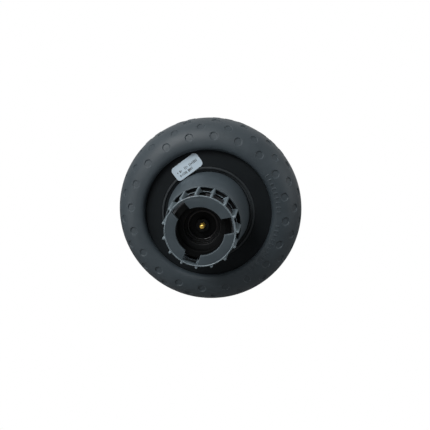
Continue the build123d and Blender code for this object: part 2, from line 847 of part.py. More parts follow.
def lead(start_radius, side):
    """A lead from the contact module, through the hollow shaft and out to the board."""
    lane = shaft_hollow / 2
    channel = (rim_inner + yoke_inner) / 2 + wire_radius / 4
    with BuildPart() as wire:
        with BuildLine(Plane.YZ):
            path = FilletPolyline(
                (contact_back + tail_length, side * start_radius),
                (contact_back + tail_length + wire_straight, side * start_radius),
                (flange_front - wire_straight, side * lane),
                (wire_station, side * lane),
                (wire_station, side * channel),
                (wire_station + 2 * wire_setback, side * channel),
                (board_front - wire_end_gap, side * (channel + bend_radius)),
                radius=(wide_bend_radius, wide_bend_radius, bend_radius, bend_radius, 2 * bend_radius),
            )
        with BuildSketch(Plane(origin=path @ 0, z_dir=path % 0)):
            Circle(wire_radius)
        sweep()
    return wire.part


write(lead(0.0, -1), "positive_lead")
write(lead(tail_circle, 1), "return_lead")
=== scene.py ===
import math
import random

import bmesh
import bpy
from mathutils import Matrix, Vector


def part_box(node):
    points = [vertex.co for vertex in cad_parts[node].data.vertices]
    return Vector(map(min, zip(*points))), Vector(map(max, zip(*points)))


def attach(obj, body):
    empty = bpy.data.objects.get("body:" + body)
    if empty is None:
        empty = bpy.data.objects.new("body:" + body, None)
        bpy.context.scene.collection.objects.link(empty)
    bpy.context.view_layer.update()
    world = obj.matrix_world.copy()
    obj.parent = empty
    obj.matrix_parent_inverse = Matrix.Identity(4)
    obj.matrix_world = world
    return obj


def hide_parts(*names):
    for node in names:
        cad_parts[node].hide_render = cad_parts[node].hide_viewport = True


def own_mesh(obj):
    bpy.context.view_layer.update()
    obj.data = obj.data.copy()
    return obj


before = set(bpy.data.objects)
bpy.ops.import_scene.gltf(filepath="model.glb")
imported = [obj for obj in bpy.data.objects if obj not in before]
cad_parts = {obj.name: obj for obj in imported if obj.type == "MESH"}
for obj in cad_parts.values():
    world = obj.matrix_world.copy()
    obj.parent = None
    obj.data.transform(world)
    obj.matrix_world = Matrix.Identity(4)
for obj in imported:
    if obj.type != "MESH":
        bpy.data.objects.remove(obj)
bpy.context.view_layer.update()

mm = 0.001           # sizes are in millimetres and meshes in metres
print("frame loaded,", len(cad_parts), "nodes")

# Places read from the frame, in millimetres along the axle (stations) and out from it (radii)
tyreLow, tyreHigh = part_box("tyre")
hubLow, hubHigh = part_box("hub_shell")
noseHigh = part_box("nose_housing")[1]
lockLow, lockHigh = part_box("lock_ring")
coverLow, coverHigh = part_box("back_cover")
sealLow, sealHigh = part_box("nose_seal")
moduleLow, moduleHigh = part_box("contact_insulator")
pinLow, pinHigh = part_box("contact_pin")
capLow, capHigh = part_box("hub_cap")
wheelMid = (tyreLow.y + tyreHigh.y) / 2 / mm
wheelRadius = tyreHigh.x / mm
tyreHalf = (tyreHigh.y - tyreLow.y) / 2 / mm
hubRadius = hubHigh.x / mm
hubFront = hubLow.y / mm
hubBack = hubHigh.y / mm


# node helpers

def mathNode(tree, operation, first, second=None, clamp=False):
    node = tree.nodes.new("ShaderNodeMath")
    node.operation = operation
    node.use_clamp = clamp
    for socket, value in zip(node.inputs, (first, second)):
        if value is None:
            continue
        if isinstance(value, (int, float)):
            socket.default_value = value
        else:
            tree.links.new(value, socket)
    return node.outputs[0]


def noiseNode(tree, vector, scale, detail=3.0, rough=0.5):
    node = tree.nodes.new("ShaderNodeTexNoise")
    tree.links.new(vector, node.inputs["Vector"])
    if isinstance(scale, (int, float)):
        node.inputs["Scale"].default_value = scale
    else:
        tree.links.new(scale, node.inputs["Scale"])
    node.inputs["Detail"].default_value = detail
    node.inputs["Roughness"].default_value = rough
    return node.outputs["Fac"]


# camera, floor and lights

cameraSet = dict(
    distance=337.5,      # from the wheel's middle, mm
    right=4.1,           # degrees towards +X
    above=9.1,           # degrees above the axle
    lens=34.1,
    shift=(0.0122, -0.0124),
)
studio = dict(
    floorDrop=170, floorSize=6000,                      # mm
    floorTone=1.0, floorBounce=0.22,                    # as seen, and as it lights the object
    backdrop=1.0,
    horizon=0.06,
    zenith=0.62, skyTurn=1.6,                           # the sky's strength overhead and how fast it fades
    glow=1.1, glowTurn=1.2,                             # the same beyond the object
    key=5.0, keyPlace=(-0.3, -0.40, 0.52), keySize=(0.35, 0.3),
    front=0.4, frontPlace=(-0.05, -0.85, 0.42), frontSize=(0.2, 0.2),
    left=1.5, leftPlace=(-0.7, -0.34, -0.04), leftSize=(0.3, 0.4),
    right=1.2, rightPlace=(0.7, -0.1, 0.16), rightSize=(0.3, 0.4),
)


def makeCamera():
    right, above = math.radians(cameraSet["right"]), math.radians(cameraSet["above"])
    middle = Vector((0, wheelMid * mm, 0))
    back = Vector((math.sin(right) * math.cos(above), -math.cos(right) * math.cos(above), math.sin(above)))
    data = bpy.data.cameras.new("camera")
    data.lens = cameraSet["lens"]
    data.sensor_width = 36
    data.shift_x, data.shift_y = cameraSet["shift"]
    data.clip_start = 0.01
    camera = bpy.data.objects.new("camera", data)
    bpy.context.scene.collection.objects.link(camera)
    camera.location = middle + back * cameraSet["distance"] * mm
    camera.rotation_euler = (-back).to_track_quat("-Z", "Y").to_euler()
    bpy.context.scene.camera = camera


def areaLight(name, place, size, power, target=(0, 0.04, 0)):
    data = bpy.data.lights.new(name, "AREA")
    data.shape = "RECTANGLE"
    data.size, data.size_y = size
    data.energy = power
    light = bpy.data.objects.new(name, data)
    bpy.context.scene.collection.objects.link(light)
    light.location = place
    light.rotation_euler = (Vector(target) - Vector(place)).to_track_quat("-Z", "Y").to_euler()


def makeStudio():
    floorMesh = bpy.data.meshes.new("floor")
    half, drop = studio["floorSize"] / 2 * mm, -(wheelRadius + studio["floorDrop"]) * mm
    corners = [(-half, -half, drop), (half, -half, drop), (half, half, drop), (-half, half, drop)]
    floorMesh.from_pydata(corners, [], [(0, 1, 2, 3)])
    floor = bpy.data.objects.new("floor", floorMesh)
    bpy.context.scene.collection.objects.link(floor)
    paint = bpy.data.materials.new("floorPaint")
    paint.use_nodes = True
    nodes, links = paint.node_tree.nodes, paint.node_tree.links
    shader = nodes["Principled BSDF"]
    bounce = studio["floorBounce"]
    shader.inputs["Base Color"].default_value = (bounce, bounce, bounce, 1)
    shader.inputs["Roughness"].default_value = 0.9
    # seen directly the floor is pale; what it throws back up is kept low
    pale = nodes.new("ShaderNodeEmission")
    tone = studio["floorTone"]
    pale.inputs["Color"].default_value = (tone, tone, tone, 1)
    mix, light = nodes.new("ShaderNodeMixShader"), nodes.new("ShaderNodeLightPath")
    links.new(light.outputs["Is Camera Ray"], mix.inputs["Fac"])
    links.new(shader.outputs[0], mix.inputs[1])
    links.new(pale.outputs[0], mix.inputs[2])
    links.new(mix.outputs[0], nodes["Material Output"].inputs["Surface"])
    floorMesh.materials.append(paint)
    for name in ("key", "front", "left", "right"):
        areaLight(f"{name}Light", studio[f"{name}Place"], studio[f"{name}Size"], studio[name])


def makeSky():
    # brighter overhead and beyond the object, dim in front of it, and plain white where it is seen directly
    world = bpy.data.worlds.new("studio")
    bpy.context.scene.world = world
    world.use_nodes = True
    tree = world.node_tree
    behind = tree.nodes["Background"]
    behind.inputs["Strength"].default_value = studio["backdrop"]
    behind.inputs["Color"].default_value = (1, 1, 1, 1)
    place = tree.nodes.new("ShaderNodeTexCoord")
    split = tree.nodes.new("ShaderNodeSeparateXYZ")
    tree.links.new(place.outputs["Generated"], split.inputs[0])
    height = mathNode(tree, "POWER", mathNode(tree, "MAXIMUM", split.outputs["Z"], 0.0), studio["skyTurn"])
    beyond = mathNode(tree, "POWER", mathNode(tree, "MAXIMUM", split.outputs["Y"], 0.0), studio["glowTurn"])
    level = mathNode(tree, "ADD", mathNode(tree, "MULTIPLY", height, studio["zenith"]), studio["horizon"])
    level = mathNode(tree, "ADD", mathNode(tree, "MULTIPLY", beyond, studio["glow"]), level)
    dome = tree.nodes.new("ShaderNodeBackground")
    tree.links.new(level, dome.inputs["Strength"])
    mix, light = tree.nodes.new("ShaderNodeMixShader"), tree.nodes.new("ShaderNodeLightPath")
    tree.links.new(light.outputs["Is Camera Ray"], mix.inputs["Fac"])
    tree.links.new(dome.outputs[0], mix.inputs[1])
    tree.links.new(behind.outputs[0], mix.inputs[2])
    tree.links.new(mix.outputs[0], tree.nodes["World Output"].inputs["Surface"])


makeCamera()
makeStudio()
makeSky()
bpy.context.scene.view_settings.view_transform = "Standard"
print("camera, floor and lights")


# shader groups that several materials share

def newGroup(name, inputs, outputs):
    group = bpy.data.node_groups.new(name, "ShaderNodeTree")
    for socketName, kind, value in inputs:
        socket = group.interface.new_socket(socketName, in_out="INPUT", socket_type=kind)
        socket.default_value = value
    for socketName, kind in outputs:
        group.interface.new_socket(socketName, in_out="OUTPUT", socket_type=kind)
    start = group.nodes.new("NodeGroupInput")
    end = group.nodes.new("NodeGroupOutput")
    return group, start, end


def objectCoordinates(tree):
    return tree.nodes.new("ShaderNodeTexCoord").outputs["Object"]


def makeGrain():
    # fine mould texture: small pebbles over a softer ripple
    group, start, end = newGroup(
        "mouldGrain",
        [("Scale", "NodeSocketFloat", 2600.0), ("Ripple", "NodeSocketFloat", 0.35)],
        [("Height", "NodeSocketFloat"), ("Mask", "NodeSocketFloat")],
    )
    place = objectCoordinates(group)
    cells = group.nodes.new("ShaderNodeTexVoronoi")
    cells.feature = "SMOOTH_F1"
    group.links.new(place, cells.inputs["Vector"])
    group.links.new(start.outputs["Scale"], cells.inputs["Scale"])
    fine = noiseNode(group, place, mathNode(group, "MULTIPLY", start.outputs["Scale"], 0.22), 4.0, 0.6)
    pebbles = mathNode(group, "SUBTRACT", 1.0, cells.outputs["Distance"])
    height = mathNode(group, "ADD", pebbles, mathNode(group, "MULTIPLY", fine, start.outputs["Ripple"]))
    group.links.new(height, end.inputs["Height"])
    group.links.new(fine, end.inputs["Mask"])
    return group


def makeWearAndHighlight():
    # edges: where the rounded normal leaves the true one, broken up by noise; the colour put there is wear
    # on some finishes and a painted edge highlight on others
    group, start, end = newGroup(
        "edgeWearAndHighlight",
        [
            ("Width", "NodeSocketFloat", 0.0005),
            ("Amount", "NodeSocketFloat", 1.0),
            ("Scale", "NodeSocketFloat", 300.0),
        ],
        [("Mask", "NodeSocketFloat")],
    )
    bevel = group.nodes.new("ShaderNodeBevel")
    bevel.samples = 4
    group.links.new(start.outputs["Width"], bevel.inputs["Radius"])
    geometry = group.nodes.new("ShaderNodeNewGeometry")
    dot = group.nodes.new("ShaderNodeVectorMath")
    dot.operation = "DOT_PRODUCT"
    group.links.new(bevel.outputs["Normal"], dot.inputs[0])
    group.links.new(geometry.outputs["Normal"], dot.inputs[1])
    away = mathNode(group, "SUBTRACT", 1.0, dot.outputs["Value"])
    edge = mathNode(group, "MULTIPLY", away, 9.0, clamp=True)
    spots = noiseNode(group, objectCoordinates(group), start.outputs["Scale"], 4.0, 0.65)
    broken = mathNode(group, "MULTIPLY", mathNode(group, "SUBTRACT", spots, 0.30), 2.6, clamp=True)
    edgeMark = mathNode(group, "MULTIPLY", edge, broken)
    mask = mathNode(group, "MULTIPLY", edgeMark, start.outputs["Amount"], clamp=True)
    group.links.new(mask, end.inputs["Mask"])
    return group


def makeDust():
    # pale handling dust in soft patches
    group, start, end = newGroup(
        "dust",
        [("Scale", "NodeSocketFloat", 45.0), ("Amount", "NodeSocketFloat", 0.25)],
        [("Mask", "NodeSocketFloat")],
    )
    place = objectCoordinates(group)
    patches = noiseNode(group, place, start.outputs["Scale"], 5.0, 0.6)
    specks = noiseNode(group, place, mathNode(group, "MULTIPLY", start.outputs["Scale"], 30.0), 2.0, 0.5)
    soft = mathNode(group, "MULTIPLY", mathNode(group, "SUBTRACT", patches, 0.42), 3.0, clamp=True)
    grit = mathNode(group, "MULTIPLY", mathNode(group, "SUBTRACT", specks, 0.45), 3.0, clamp=True)
    gritty = mathNode(group, "ADD", mathNode(group, "MULTIPLY", grit, 0.6), 0.4)
    both = mathNode(group, "MULTIPLY", soft, gritty)
    group.links.new(mathNode(group, "MULTIPLY", both, start.outputs["Amount"]), end.inputs["Mask"])
    return group


def makeTurned():
    # fine rings left by a lathe, centred on the axle
    group, start, end = newGroup(
        "turnedRings",
        [("Spacing", "NodeSocketFloat", 0.0003)],
        [("Height", "NodeSocketFloat"), ("Mask", "NodeSocketFloat")],
    )
    split = group.nodes.new("ShaderNodeSeparateXYZ")
    group.links.new(objectCoordinates(group), split.inputs[0])
    across = mathNode(group, "MULTIPLY", split.outputs["X"], split.outputs["X"])
    upward = mathNode(group, "MULTIPLY", split.outputs["Z"], split.outputs["Z"])
    radius = mathNode(group, "SQRT", mathNode(group, "ADD", across, upward))
    path = mathNode(group, "ADD", radius, split.outputs["Y"])
    join = group.nodes.new("ShaderNodeCombineXYZ")
    group.links.new(mathNode(group, "DIVIDE", path, start.outputs["Spacing"]), join.inputs["X"])
    rings = noiseNode(group, join.outputs[0], 1.0, 2.0, 0.6)
    group.links.new(rings, end.inputs["Height"])
    group.links.new(rings, end.inputs["Mask"])
    return group


def makeLayers():
    # stacked sheets or wound turns along the axle
    group, start, end = newGroup(
        "layers",
        [("Spacing", "NodeSocketFloat", 0.0005)],
        [("Height", "NodeSocketFloat"), ("Mask", "NodeSocketFloat")],
    )
    split = group.nodes.new("ShaderNodeSeparateXYZ")
    group.links.new(objectCoordinates(group), split.inputs[0])
    turns = mathNode(group, "DIVIDE", split.outputs["Y"], start.outputs["Spacing"])
    wave = mathNode(group, "ABSOLUTE", mathNode(group, "SINE", mathNode(group, "MULTIPLY", turns, math.pi)))
    group.links.new(wave, end.inputs["Height"])
    group.links.new(wave, end.inputs["Mask"])
    return group


groups = dict(
    grain=makeGrain(), wearAndHighlight=makeWearAndHighlight(), dust=makeDust(), turned=makeTurned(), layers=makeLayers(),
)
print("shader groups:", ", ".join(group.name for group in groups.values()))


# materials

def groupNode(tree, kind, **values):
    node = tree.nodes.new("ShaderNodeGroup")
    node.node_tree = groups[kind]
    for name, value in values.items():
        node.inputs[name].default_value = value
    return node


def mixColour(tree, mask, first, second):
    node = tree.nodes.new("ShaderNodeMix")
    node.data_type = "RGBA"
    tree.links.new(mask, node.inputs["Factor"])
    for socket, value in ((node.inputs["A"], first), (node.inputs["B"], second)):
        if isinstance(value, tuple):
            socket.default_value = (*value, 1)
        else:
            tree.links.new(value, socket)
    return node.outputs["Result"]


def spread(tree, mask, low, high):
    node = tree.nodes.new("ShaderNodeMapRange")
    tree.links.new(mask, node.inputs["Value"])
    node.inputs["To Min"].default_value = low
    node.inputs["To Max"].default_value = high
    return node.outputs["Result"]


def makeMaterial(name, colour, tint, rough, metal=0.0, texture="grain", textureSize=2600.0, bump=0.15,
                 bumpSize=0.00006, wearAndHighlight=None, dust=None, gloss=0.5):
    # colour varies to tint over a soft noise; rough is (low, high); wearAndHighlight is (colour, width,
    # amount, scale) for an edge colour, wear on some finishes and a painted highlight on others, and dust
    # (colour, scale, amount); textureSize is a scale for grain, a spacing in metres for the others
    material = bpy.data.materials.new(name)
    material.use_nodes = True
    tree = material.node_tree
    shader = tree.nodes["Principled BSDF"]
    if texture == "grain":
        detail = groupNode(tree, "grain", Scale=textureSize)
    else:
        detail = groupNode(tree, texture, Spacing=textureSize)
    clouds = noiseNode(tree, objectCoordinates(tree), 60.0, 4.0, 0.6)
    base = mixColour(tree, spread(tree, clouds, -0.4, 1.4), colour, tint)
    base = mixColour(tree, spread(tree, detail.outputs["Mask"], -0.1, 0.35), base, tint)
    if dust:
        powder = groupNode(tree, "dust", Scale=dust[1], Amount=dust[2])
        base = mixColour(tree, powder.outputs["Mask"], base, dust[0])
    # the edge colour: wear on some finishes, a painted edge highlight on others
    if wearAndHighlight:
        edges = groupNode(tree, "wearAndHighlight", Width=wearAndHighlight[1], Amount=wearAndHighlight[2], Scale=wearAndHighlight[3])
        base = mixColour(tree, edges.outputs["Mask"], base, wearAndHighlight[0])
    tree.links.new(base, shader.inputs["Base Color"])
    tree.links.new(spread(tree, clouds, *rough), shader.inputs["Roughness"])
    shader.inputs["Metallic"].default_value = metal
    shader.inputs["Specular IOR Level"].default_value = gloss
    relief = tree.nodes.new("ShaderNodeBump")
    relief.inputs["Strength"].default_value = bump
    relief.inputs["Distance"].default_value = bumpSize
    tree.links.new(detail.outputs["Height"], relief.inputs["Height"])
    tree.links.new(relief.outputs["Normal"], shader.inputs["Normal"])
    return material


dustBlue = (0.15, 0.18, 0.20)
materials = dict(
    tyreRubber=makeMaterial(
        "tyreRubber", (0.023, 0.033, 0.040), (0.034, 0.046, 0.055), (0.50, 0.62),
        textureSize=1900.0, bump=0.35,
        dust=(dustBlue, 40.0, 0.10), wearAndHighlight=((0.10, 0.125, 0.145), 0.0007, 0.5, 260.0), gloss=0.4,
    ),
    hubBlack=makeMaterial(
        "hubBlack", (0.0034, 0.0052, 0.0064), (0.0052, 0.0076, 0.0092), (0.60, 0.72),
        textureSize=3400.0, bump=0.20,
        dust=(dustBlue, 55.0, 0.02), wearAndHighlight=((0.04, 0.05, 0.056), 0.0004, 0.6, 400.0), gloss=0.15,
    ),
    noseGrey=makeMaterial(
        "noseGrey", (0.036, 0.050, 0.060), (0.048, 0.065, 0.076), (0.50, 0.64),
        textureSize=3000.0, bump=0.30,
        dust=(dustBlue, 60.0, 0.08), wearAndHighlight=((0.13, 0.155, 0.17), 0.0005, 0.8, 420.0), gloss=0.4,
    ),
    # its pale edge colour is a painted edge highlight on the ring's edges
    ringGrey=makeMaterial(
        "ringGrey", (0.030, 0.042, 0.050), (0.042, 0.057, 0.067), (0.46, 0.60),
        textureSize=3200.0, bump=0.22,
        dust=(dustBlue, 70.0, 0.06), wearAndHighlight=((0.20, 0.25, 0.28), 0.0006, 0.9, 500.0), gloss=0.4,
    ),
    # a lighter copy of ringGrey for the ribs, rim bead and ridge of the same ring: painted highlight; its
    # pale edge colour is painted edge highlight too
    ringPaintedHighlight=makeMaterial(
        "ringPaintedHighlight", (0.10, 0.13, 0.15), (0.14, 0.18, 0.20), (0.30, 0.42), textureSize=3200.0, bump=0.12,
        dust=(dustBlue, 90.0, 0.10), wearAndHighlight=((0.36, 0.43, 0.48), 0.0005, 1.0, 650.0), gloss=0.5,
    ),
    # near-black for the nose barrel, part of the grey nose housing: painted shade
    boreBlack=makeMaterial(
        "boreBlack", (0.0016, 0.0019, 0.0021), (0.0028, 0.0032, 0.0034), (0.66, 0.78), texture="turned",
        textureSize=0.00035, bump=0.12, wearAndHighlight=((0.010, 0.012, 0.013), 0.0003, 0.6, 500.0), gloss=0.08,
    ),
    moduleBlack=makeMaterial(
        "moduleBlack", (0.0035, 0.0040, 0.0045), (0.0060, 0.0070, 0.0075), (0.42, 0.56), texture="turned",
        textureSize=0.00035, bump=0.12, wearAndHighlight=((0.02, 0.023, 0.026), 0.0003, 0.7, 500.0), gloss=0.25,
    ),
    # near-black metal for the return contact: painted shade deep in the bore
    paintedShadeMetal=makeMaterial(
        "paintedShadeMetal", (0.050, 0.050, 0.052), (0.075, 0.074, 0.076), (0.30, 0.42),
        metal=1.0, texture="turned",
        textureSize=0.0002, bump=0.08,
    ),
    sealRubber=makeMaterial(
        "sealRubber", (0.010, 0.0135, 0.016), (0.015, 0.020, 0.023), (0.48, 0.60),
        textureSize=2800.0, bump=0.2,
        wearAndHighlight=((0.065, 0.078, 0.086), 0.0004, 0.8, 350.0), gloss=0.4,
    ),
    # its near-white edge colour is a painted edge highlight
    labelFilm=makeMaterial(
        "labelFilm", (0.38, 0.47, 0.54), (0.44, 0.53, 0.60), (0.34, 0.46), textureSize=1500.0, bump=0.05,
        dust=((0.25, 0.27, 0.29), 130.0, 0.15), wearAndHighlight=((0.86, 0.92, 0.96), 0.0004, 0.9, 500.0),
    ),
    labelInk=makeMaterial("labelInk", (0.035, 0.04, 0.045), (0.06, 0.065, 0.07), (0.5, 0.65), bump=0.05),
    goldPlate=makeMaterial(
        "goldPlate", (1.0, 0.62, 0.10), (1.0, 0.70, 0.18), (0.30, 0.42), metal=0.45, texture="turned",
        textureSize=0.00012, bump=0.05,
    ),
    turnedBrass=makeMaterial(
        "turnedBrass", (0.60, 0.44, 0.19), (0.72, 0.54, 0.25), (0.22, 0.38), metal=1.0, texture="turned",
        textureSize=0.0002, bump=0.08,
    ),
    shaftSteel=makeMaterial(
        "shaftSteel", (0.44, 0.45, 0.47), (0.54, 0.55, 0.57), (0.20, 0.36), metal=1.0, texture="turned",
        textureSize=0.00016, bump=0.08,
    ),
    bearingSteel=makeMaterial(
        "bearingSteel", (0.60, 0.61, 0.63), (0.68, 0.69, 0.71), (0.10, 0.20), metal=1.0, texture="turned",
        textureSize=0.0001, bump=0.04,
    ),
    screwSteel=makeMaterial(
        "screwSteel", (0.28, 0.29, 0.31), (0.36, 0.37, 0.39), (0.26, 0.42), metal=1.0, textureSize=4200.0,
        bump=0.08, wearAndHighlight=((0.6, 0.6, 0.62), 0.0003, 0.6, 700.0),
    ),
    coverPaint=makeMaterial(
        "coverPaint", (0.013, 0.016, 0.018), (0.021, 0.025, 0.028), (0.44, 0.58),
        textureSize=2300.0, bump=0.4,
        dust=(dustBlue, 45.0, 0.10), wearAndHighlight=((0.16, 0.17, 0.18), 0.0005, 0.5, 380.0),
    ),
    coreSteel=makeMaterial(
        "coreSteel", (0.20, 0.21, 0.23), (0.30, 0.31, 0.33), (0.34, 0.50), metal=1.0, texture="layers",
        textureSize=0.0005, bump=0.3,
    ),
    magnetPlate=makeMaterial(
        "magnetPlate", (0.40, 0.41, 0.43), (0.50, 0.51, 0.53), (0.24, 0.36),
        metal=1.0, textureSize=2500.0, bump=0.08,
    ),
    copperWire=makeMaterial(
        "copperWire", (0.50, 0.19, 0.07), (0.62, 0.28, 0.12), (0.26, 0.38), metal=1.0, texture="layers",
        textureSize=0.00055, bump=0.8, bumpSize=0.0002,
    ),
    castAlloy=makeMaterial(
        "castAlloy", (0.50, 0.51, 0.53), (0.58, 0.59, 0.61), (0.36, 0.50),
        metal=1.0, textureSize=1800.0, bump=0.2,
    ),
    boardGreen=makeMaterial(
        "boardGreen", (0.010, 0.060, 0.026), (0.016, 0.090, 0.040), (0.28, 0.40),
        textureSize=900.0, bump=0.1,
    ),
    packageBlack=makeMaterial(
        "packageBlack", (0.012, 0.012, 0.013), (0.020, 0.020, 0.021), (0.45, 0.60),
        textureSize=4000.0, bump=0.15,
    ),
    leadRed=makeMaterial("leadRed", (0.36, 0.020, 0.016), (0.42, 0.035, 0.028), (0.36, 0.48), bump=0.1),
    leadBlack=makeMaterial("leadBlack", (0.012, 0.012, 0.013), (0.02, 0.02, 0.02), (0.36, 0.48), bump=0.1),
)
print(len(materials), "materials")


# the ring array: copies of one unit round the axle, as a Geometry Nodes tree

def makeRingTree():
    tree = bpy.data.node_groups.new("ringArray", "GeometryNodeTree")
    face = tree.interface
    face.new_socket("Unit", in_out="INPUT", socket_type="NodeSocketGeometry")
    for name, kind, value in (
        ("Count", "NodeSocketInt", 12),
        ("First Angle", "NodeSocketFloat", 0.0),
        ("Step Angle", "NodeSocketFloat", 30.0),
        ("Keep Share", "NodeSocketFloat", 1.0),
        ("Seed", "NodeSocketInt", 0),
        ("Weld Distance", "NodeSocketFloat", 0.000002),
    ):
        face.new_socket(name, in_out="INPUT", socket_type=kind).default_value = value
    face.new_socket("Finish", in_out="INPUT", socket_type="NodeSocketMaterial")
    face.new_socket("Ring", in_out="OUTPUT", socket_type="NodeSocketGeometry")
    nodes, links = tree.nodes, tree.links
    start, end = nodes.new("NodeGroupInput"), nodes.new("NodeGroupOutput")
    points = nodes.new("GeometryNodePoints")
    links.new(start.outputs["Count"], points.inputs["Count"])
    index = nodes.new("GeometryNodeInputIndex")
    turn = nodes.new("ShaderNodeMath")
    turn.operation = "MULTIPLY_ADD"
    links.new(index.outputs[0], turn.inputs[0])
    links.new(start.outputs["Step Angle"], turn.inputs[1])
    links.new(start.outputs["First Angle"], turn.inputs[2])
    angle = nodes.new("ShaderNodeMath")
    angle.operation = "MULTIPLY"
    links.new(turn.outputs[0], angle.inputs[0])
    angle.inputs[1].default_value = -math.pi / 180    # +X towards +Z is a negative turn about Y
    spin = nodes.new("ShaderNodeCombineXYZ")
    links.new(angle.outputs[0], spin.inputs["Y"])
    pick = nodes.new("FunctionNodeRandomValue")
    pick.data_type = "BOOLEAN"
    links.new(start.outputs["Keep Share"], pick.inputs["Probability"])
    links.new(start.outputs["Seed"], pick.inputs["Seed"])
    place = nodes.new("GeometryNodeInstanceOnPoints")
    links.new(points.outputs[0], place.inputs["Points"])
    links.new(pick.outputs[3], place.inputs["Selection"])
    links.new(start.outputs["Unit"], place.inputs["Instance"])
    links.new(spin.outputs[0], place.inputs["Rotation"])
    real = nodes.new("GeometryNodeRealizeInstances")
    links.new(place.outputs[0], real.inputs[0])
    weld = nodes.new("GeometryNodeMergeByDistance")
    links.new(real.outputs[0], weld.inputs["Geometry"])
    links.new(start.outputs["Weld Distance"], weld.inputs["Distance"])
    finish = nodes.new("GeometryNodeSetMaterial")
    links.new(weld.outputs[0], finish.inputs["Geometry"])
    links.new(start.outputs["Finish"], finish.inputs["Material"])
    links.new(finish.outputs[0], end.inputs["Ring"])
    return tree


ringTree = makeRingTree()


def linked(name, mesh):
    item = bpy.data.objects.new(name, mesh)
    bpy.context.scene.collection.objects.link(item)
    return item


def settle(item):
    # the evaluated result as a plain mesh; the object and its modifiers go
    graph = bpy.context.evaluated_depsgraph_get()
    mesh = bpy.data.meshes.new_from_object(item.evaluated_get(graph))
    bpy.data.objects.remove(item)
    return mesh


def ringOf(unit, count, material, first=0.0, step=None, keep=1.0, seed=0):
    item = linked("unit", unit)
    modifier = item.modifiers.new("ringArray", "NODES")
    modifier.node_group = ringTree
    wanted = {
        "Count": count,
        "First Angle": float(first),
        "Step Angle": float(step or 360 / count),
        "Keep Share": keep,
        "Seed": seed,
        "Finish": materials[material],
    }
    for socket in ringTree.interface.items_tree:
        if socket.in_out == "INPUT" and socket.name in wanted:
            modifier[socket.identifier] = wanted[socket.name]
    return settle(item)


# mesh helpers

def polar(radius, angle, station):
    turn = math.radians(angle)
    return Vector((radius * math.cos(turn), station, radius * math.sin(turn))) * mm


def roundCorners(corners, steps=5, guard=0.12):
    # corners are (radius, station, fillet); each becomes an arc with a guard point on either side
    points = []
    for index, (radius, station, fillet) in enumerate(corners):
        here = Vector((radius, station))
        before = Vector(corners[index - 1][:2]) - here
        after = Vector(corners[(index + 1) % len(corners)][:2]) - here
        if fillet <= 0:
            points.append(here)
            continue
        toBefore, toAfter = before.normalized(), after.normalized()
        half = toBefore.angle(toAfter) / 2
        cut = min(fillet / math.tan(half), 0.45 * before.length, 0.45 * after.length)
        size = cut * math.tan(half)
        centre = here + (toBefore + toAfter).normalized() * (size / math.sin(half))
        first, last = here + toBefore * cut, here + toAfter * cut
        spare = min(guard, 0.3 * (before.length - cut), 0.3 * (after.length - cut))
        points.append(first + toBefore * spare)
        fromFirst, fromLast = first - centre, last - centre
        for step in range(steps + 1):
            share = step / steps
            points.append(centre + fromFirst.slerp(fromLast, share).normalized() * size)
        points.append(last + toAfter * spare)
    return points


def lathe(name, corners, segments=160, steps=5):
    # the outline turned round the axle; a corner on the axle is a pole
    angles = [360 * k / segments for k in range(segments)]
    work = bmesh.new()
    rings = []
    for radius, station in roundCorners(corners, steps):
        if radius < 1e-6:
            rings.append([work.verts.new(Vector((0, station, 0)) * mm)])
        else:
            rings.append([work.verts.new(polar(radius, angle, station)) for angle in angles])
    for index, ring in enumerate(rings):
        following = rings[(index + 1) % len(rings)]
        if len(ring) == 1 and len(following) == 1:
            continue
        for k in range(segments):
            after = (k + 1) % segments
            if len(ring) == 1:
                work.faces.new((ring[0], following[after], following[k]))
            elif len(following) == 1:
                work.faces.new((ring[k], ring[after], following[0]))
            else:
                work.faces.new((ring[k], ring[after], following[after], following[k]))
    bmesh.ops.remove_doubles(work, verts=work.verts, dist=1e-7)
    return finished(name, work)


def finished(name, work):
    bmesh.ops.recalc_face_normals(work, faces=work.faces)
    mesh = bpy.data.meshes.new(name)
    work.to_mesh(mesh)
    work.free()
    mesh.shade_smooth()
    return mesh


def addPiece(name, meshes, material, body, slot, *nodes):
    # several shells become one piece with one finish
    work = bmesh.new()
    for mesh in meshes:
        work.from_mesh(mesh)
    joined = bpy.data.meshes.new(name)
    work.to_mesh(joined)
    work.free()
    joined.materials.clear()
    joined.materials.append(materials[material])
    for polygon in joined.polygons:
        polygon.material_index = 0
    item = linked(name, joined)
    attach(item, body)
    if nodes:
        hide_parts(*nodes)
    print(name, len(joined.polygons), "faces")
    return item


# tyre

tyre = dict(
    inset=0.35,          # the smooth surface lies this far inside the outline, for the raised marks
    gap=0.05,            # between the bead and the hub
    lip=4.15,
    lipShape=0.7,        # under 1 the bead's lip is squarer than a circle
    frontReach=1.1,      # how far the bead in front reaches in over the hub's face
    rows=3,              # rows of dimples on each side of the crown band
    perRow=20,
    pitch=8.4,           # from row to row over the surface
    shoulder=29.6,       # the outermost row's distance from the crown
    phase=13.5,
    dimple=3.05,
    depth=0.75,
    across=12,           # segments of one cell round the wheel, an even number
    along=6,
)


crownSteps, lipSteps = 180, 45


